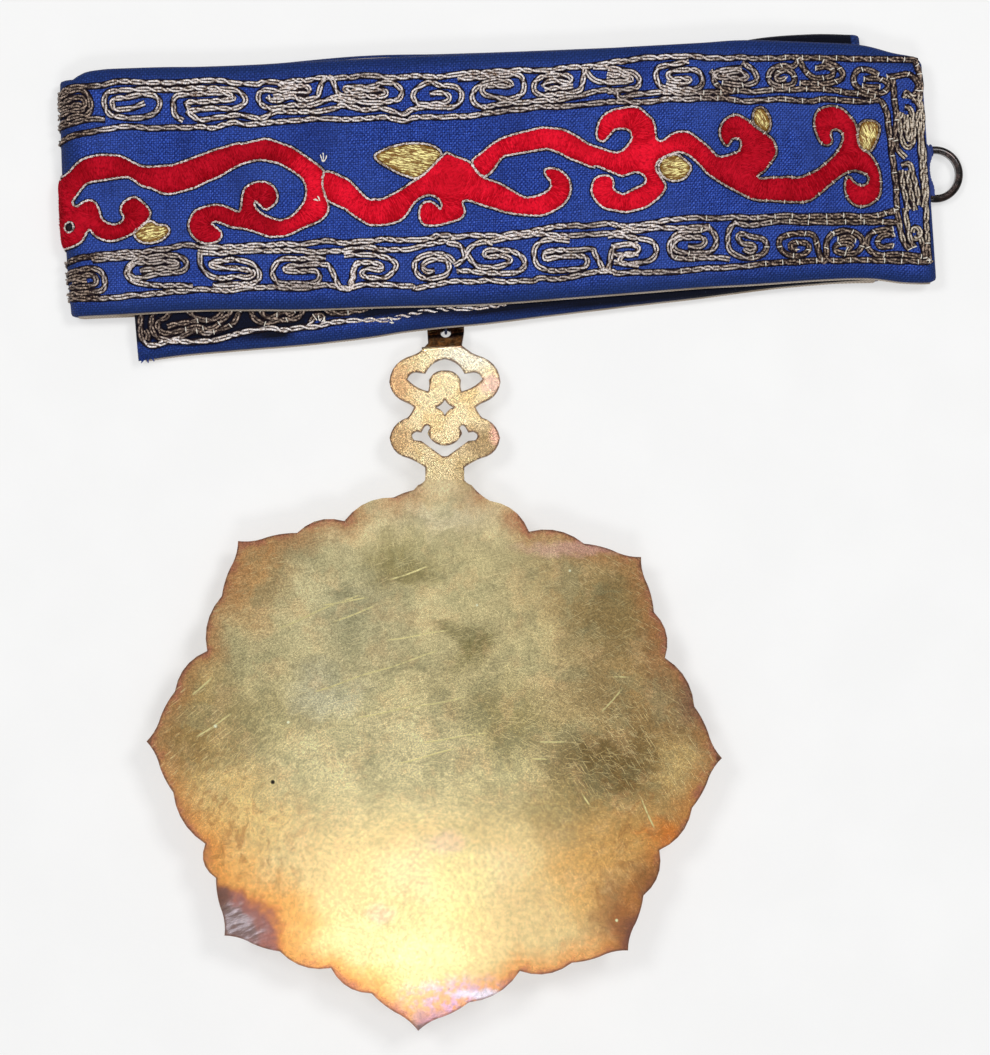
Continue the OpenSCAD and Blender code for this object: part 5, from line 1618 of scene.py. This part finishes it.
fill(shader, {"Base Color": gold, "Metallic": 0.2, "Roughness": 0.36})
bump(shader, grain(place, 5.0, 2.0), 0.06, 0.6)

leaf_sizes = {"Stitches per square metre": 7.5e6, "Length": 1.7 * MM, "Width": 0.22 * MM,
              "Thickness": 0.26 * MM, "Finish": gilt_floss}
for name, outline, lay in (("long_leaf", long_leaf, (1, -0.15)), ("small_leaf", small_leaf, (1, 0.25)),
                           ("round_leaf", round_leaf, (1, 0.1)), ("top_leaf", top_leaf, (0.5, -1)),
                           ("end_leaf", end_leaf, (0.35, -1))):
    cushion = padded_shape(name + "_padding", outline, [], leaf_lift, leaf_reach, fixed_lay=lay)
    embroidered(name, "_thread", cushion, leaf_sizes, outline, plain_edge, 0.15)

# ---------------------------------------------------------------------------------------------
# Closing ring: a small cast ring, blackened, sewn to the right end of the band by two wraps
# of blue silk. The wire hook that takes it is at the other end, hidden in the fold, and a
# loop of navy thread holds the badge.

ring_middle = Vector((78.0, 65.6, 1.66))
ring_bar = 4.5
wrap_radius = 0.95
wrap_spans = ((100, 134), (222, 254))
wrap_turns = 6
wrap_corners = 12
over_height = 3.9

black_metal, tree, shader, place = new_finish("blackened_ring")
dirt = grain(place, 1.1, 4.0, 0.65)
blackened = blend(step(dirt, 0.4, 0.65), linear(14, 11, 12), linear(48, 34, 30))
fill(shader, {"Base Color": blackened, "Metallic": 0.65, "Specular IOR Level": 0.6,
              "Roughness": step(dirt, 0.3, 0.7, 0.13, 0.22)})
bump(shader, dirt, 0.08, 0.4)
hook_metal, tree, shader, place = new_finish("dull_hook_wire")
dirt = grain(place, 2.0, 3.0)
wire = blend(dirt, linear(96, 92, 86), linear(168, 162, 150))
fill(shader, {"Base Color": wire, "Metallic": 0.9, "Roughness": 0.4})
bump(shader, dirt, 0.03, 0.4)


def fibre_finish(name, dark, pale, roughness, specular=0.5):
    """A thread finish, streaked with fine fibres from dark to pale."""
    finish, _, shader, place = new_finish(name)
    fibres = grain(place, 3.0, 3.0)
    fill(shader, {"Base Color": blend(fibres, dark, pale), "Roughness": roughness,
                  "Specular IOR Level": specular})
    bump(shader, fibres, 0.06, 0.6)
    return finish


navy = fibre_finish("navy_thread", linear(10, 12, 28), linear(30, 38, 74), 0.8)
blue_silk = fibre_finish("blue_sewing_silk", linear(12, 28, 80), linear(40, 66, 146), 0.75)
for node, finish in (("closing_ring", black_metal), ("closing_hook", hook_metal), ("badge_loop", navy)):
    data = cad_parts[node].data
    data.materials.clear()
    data.materials.append(finish)

points, edges = [], []
for start, end in wrap_spans:
    for number in range(wrap_turns):
        around = math.radians(start + (end - start) * number / (wrap_turns - 1))
        away = Vector((math.cos(around), math.sin(around), 0))
        middle = ring_middle + away * ring_bar
        first = len(points)
        for k in range(wrap_corners):
            turn = math.tau * k / wrap_corners
            off = away * math.cos(turn) + Vector((0, 0, 1)) * math.sin(turn)
            points.append((middle + off * wrap_radius) * MM)
            edges.append((first + k, first + (k + 1) % wrap_corners))
data = bpy.data.meshes.new("ring_wrap_path")
data.from_pydata(points, edges, [])
up = data.attributes.new("up", "FLOAT_VECTOR", "POINT")
up.data.foreach_set("vector", [0.0, 0.0, 1.0] * len(points))
data.attributes.new("tarnish", "FLOAT", "POINT")
path = put("ring_wrap_path", data)
silk_sizes = {"Strand radius": 0.22 * MM, "Side spread": 0.05 * MM, "Height spread": 0.05 * MM,
              "Twist length": 1.5 * MM, "Core half width": 0.2 * MM, "Core half height": 0.2 * MM,
              "Core drop": 0.0, "Finish": blue_silk, "Core finish": blue_silk}
wraps = made_by(cord_tree, path, "ring_wraps", silk_sizes)
bpy.data.objects.remove(path)


def beside_ring(x, y, lift):
    """The place of the silk that oversews the end of the top wing where the ring hangs."""
    return Vector((x, y, lift)), Vector((0, 0, 1))


end_line = [(75.8, 71.2), (76.8, 69.9), (76.8, 68.6), (76.4, 67.4), (76.4, 66.0), (76.7, 64.5),
            (77.2, 62.9), (77.4, 61.6)]
oversewn = [[(x - shift, y) for x, y in end_line] for shift in (0.0, 0.35, 0.7)]
over_sizes = silk_sizes | {"Strand radius": 0.26 * MM, "Side spread": 0.12 * MM}
over_kinds = (("", cord_tree, over_sizes),)
oversewing = sewn("ring_stitching", over_kinds, oversewn, over_height, 0.25, place_at=beside_ring)
for piece in (wraps, *oversewing):
    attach(piece, "root")

# ---------------------------------------------------------------------------------------------
# Loose threads: short ends of pale tie cotton stand up where lengths of the vine and of the
# cords meet, and the cut corner of the lower wing has frayed to single blue fibres.

frayed = fibre_finish("frayed_blue_wool", linear(14, 30, 84), linear(44, 70, 150), 0.85, specular=0.1)
fibre_sizes = {"Strand radius": 0.07 * MM, "Side spread": 0.04 * MM, "Height spread": 0.03 * MM,
               "Twist length": 1.6 * MM, "Core half width": 0.06 * MM, "Core half height": 0.05 * MM,
               "Core drop": 0.0}
vine_tufts = [
    [(-34.7, 67.6), (-34.9, 68.3), (-35.1, 68.9)],
    [(-34.6, 67.6), (-34.5, 68.4), (-34.6, 69.2)],
    [(-34.5, 67.6), (-34.1, 68.2), (-34.0, 68.8)],
    [(-35.4, 60.4), (-35.9, 60.7), (-36.3, 60.6)],
    [(-35.2, 60.4), (-35.3, 60.9), (-35.6, 61.3)],
]
strip_tufts = [
    [(-36.6, 39.8), (-36.2, 39.2), (-35.8, 38.7)], [(-35.5, 39.9), (-35.5, 39.2), (-35.3, 38.6)],
    [(-34.4, 39.3), (-34.5, 38.8), (-34.2, 38.3)], [(-22.7, 39.2), (-22.3, 38.8), (-22.0, 38.4)],
    [(-22.5, 38.4), (-22.1, 38.2), (-21.7, 38.3)],
]
corner_fibres = [
    [(-67.7, 32.3), (-68.2, 31.9), (-68.6, 31.4)], [(-67.4, 31.9), (-67.7, 31.3), (-68.2, 30.8)],
    [(-66.8, 31.9), (-67.0, 31.2), (-66.8, 30.8)], [(-67.8, 33.2), (-68.4, 33.1), (-68.8, 32.8)],
    [(-67.8, 34.4), (-68.2, 34.5), (-68.5, 34.2)], [(-66.2, 32.0), (-66.1, 31.5), (-65.8, 31.2)],
    [(-67.6, 32.0), (-68.1, 31.5), (-68.0, 31.0)],
]
for name, lines, lift, place_at, finish in (
        ("vine_tufts", vine_tufts, 0.95, lay_on, tie_cotton),
        ("strip_tufts", strip_tufts, 0.5, under_top_wing, tie_cotton),
        ("corner_fibres", corner_fibres, -0.5, under_top_wing, frayed)):
    kinds = (("", cord_tree, fibre_sizes | {"Finish": finish, "Core finish": finish}),)
    sew_down(*sewn(name, kinds, lines, lift, 0.15, place_at=place_at))
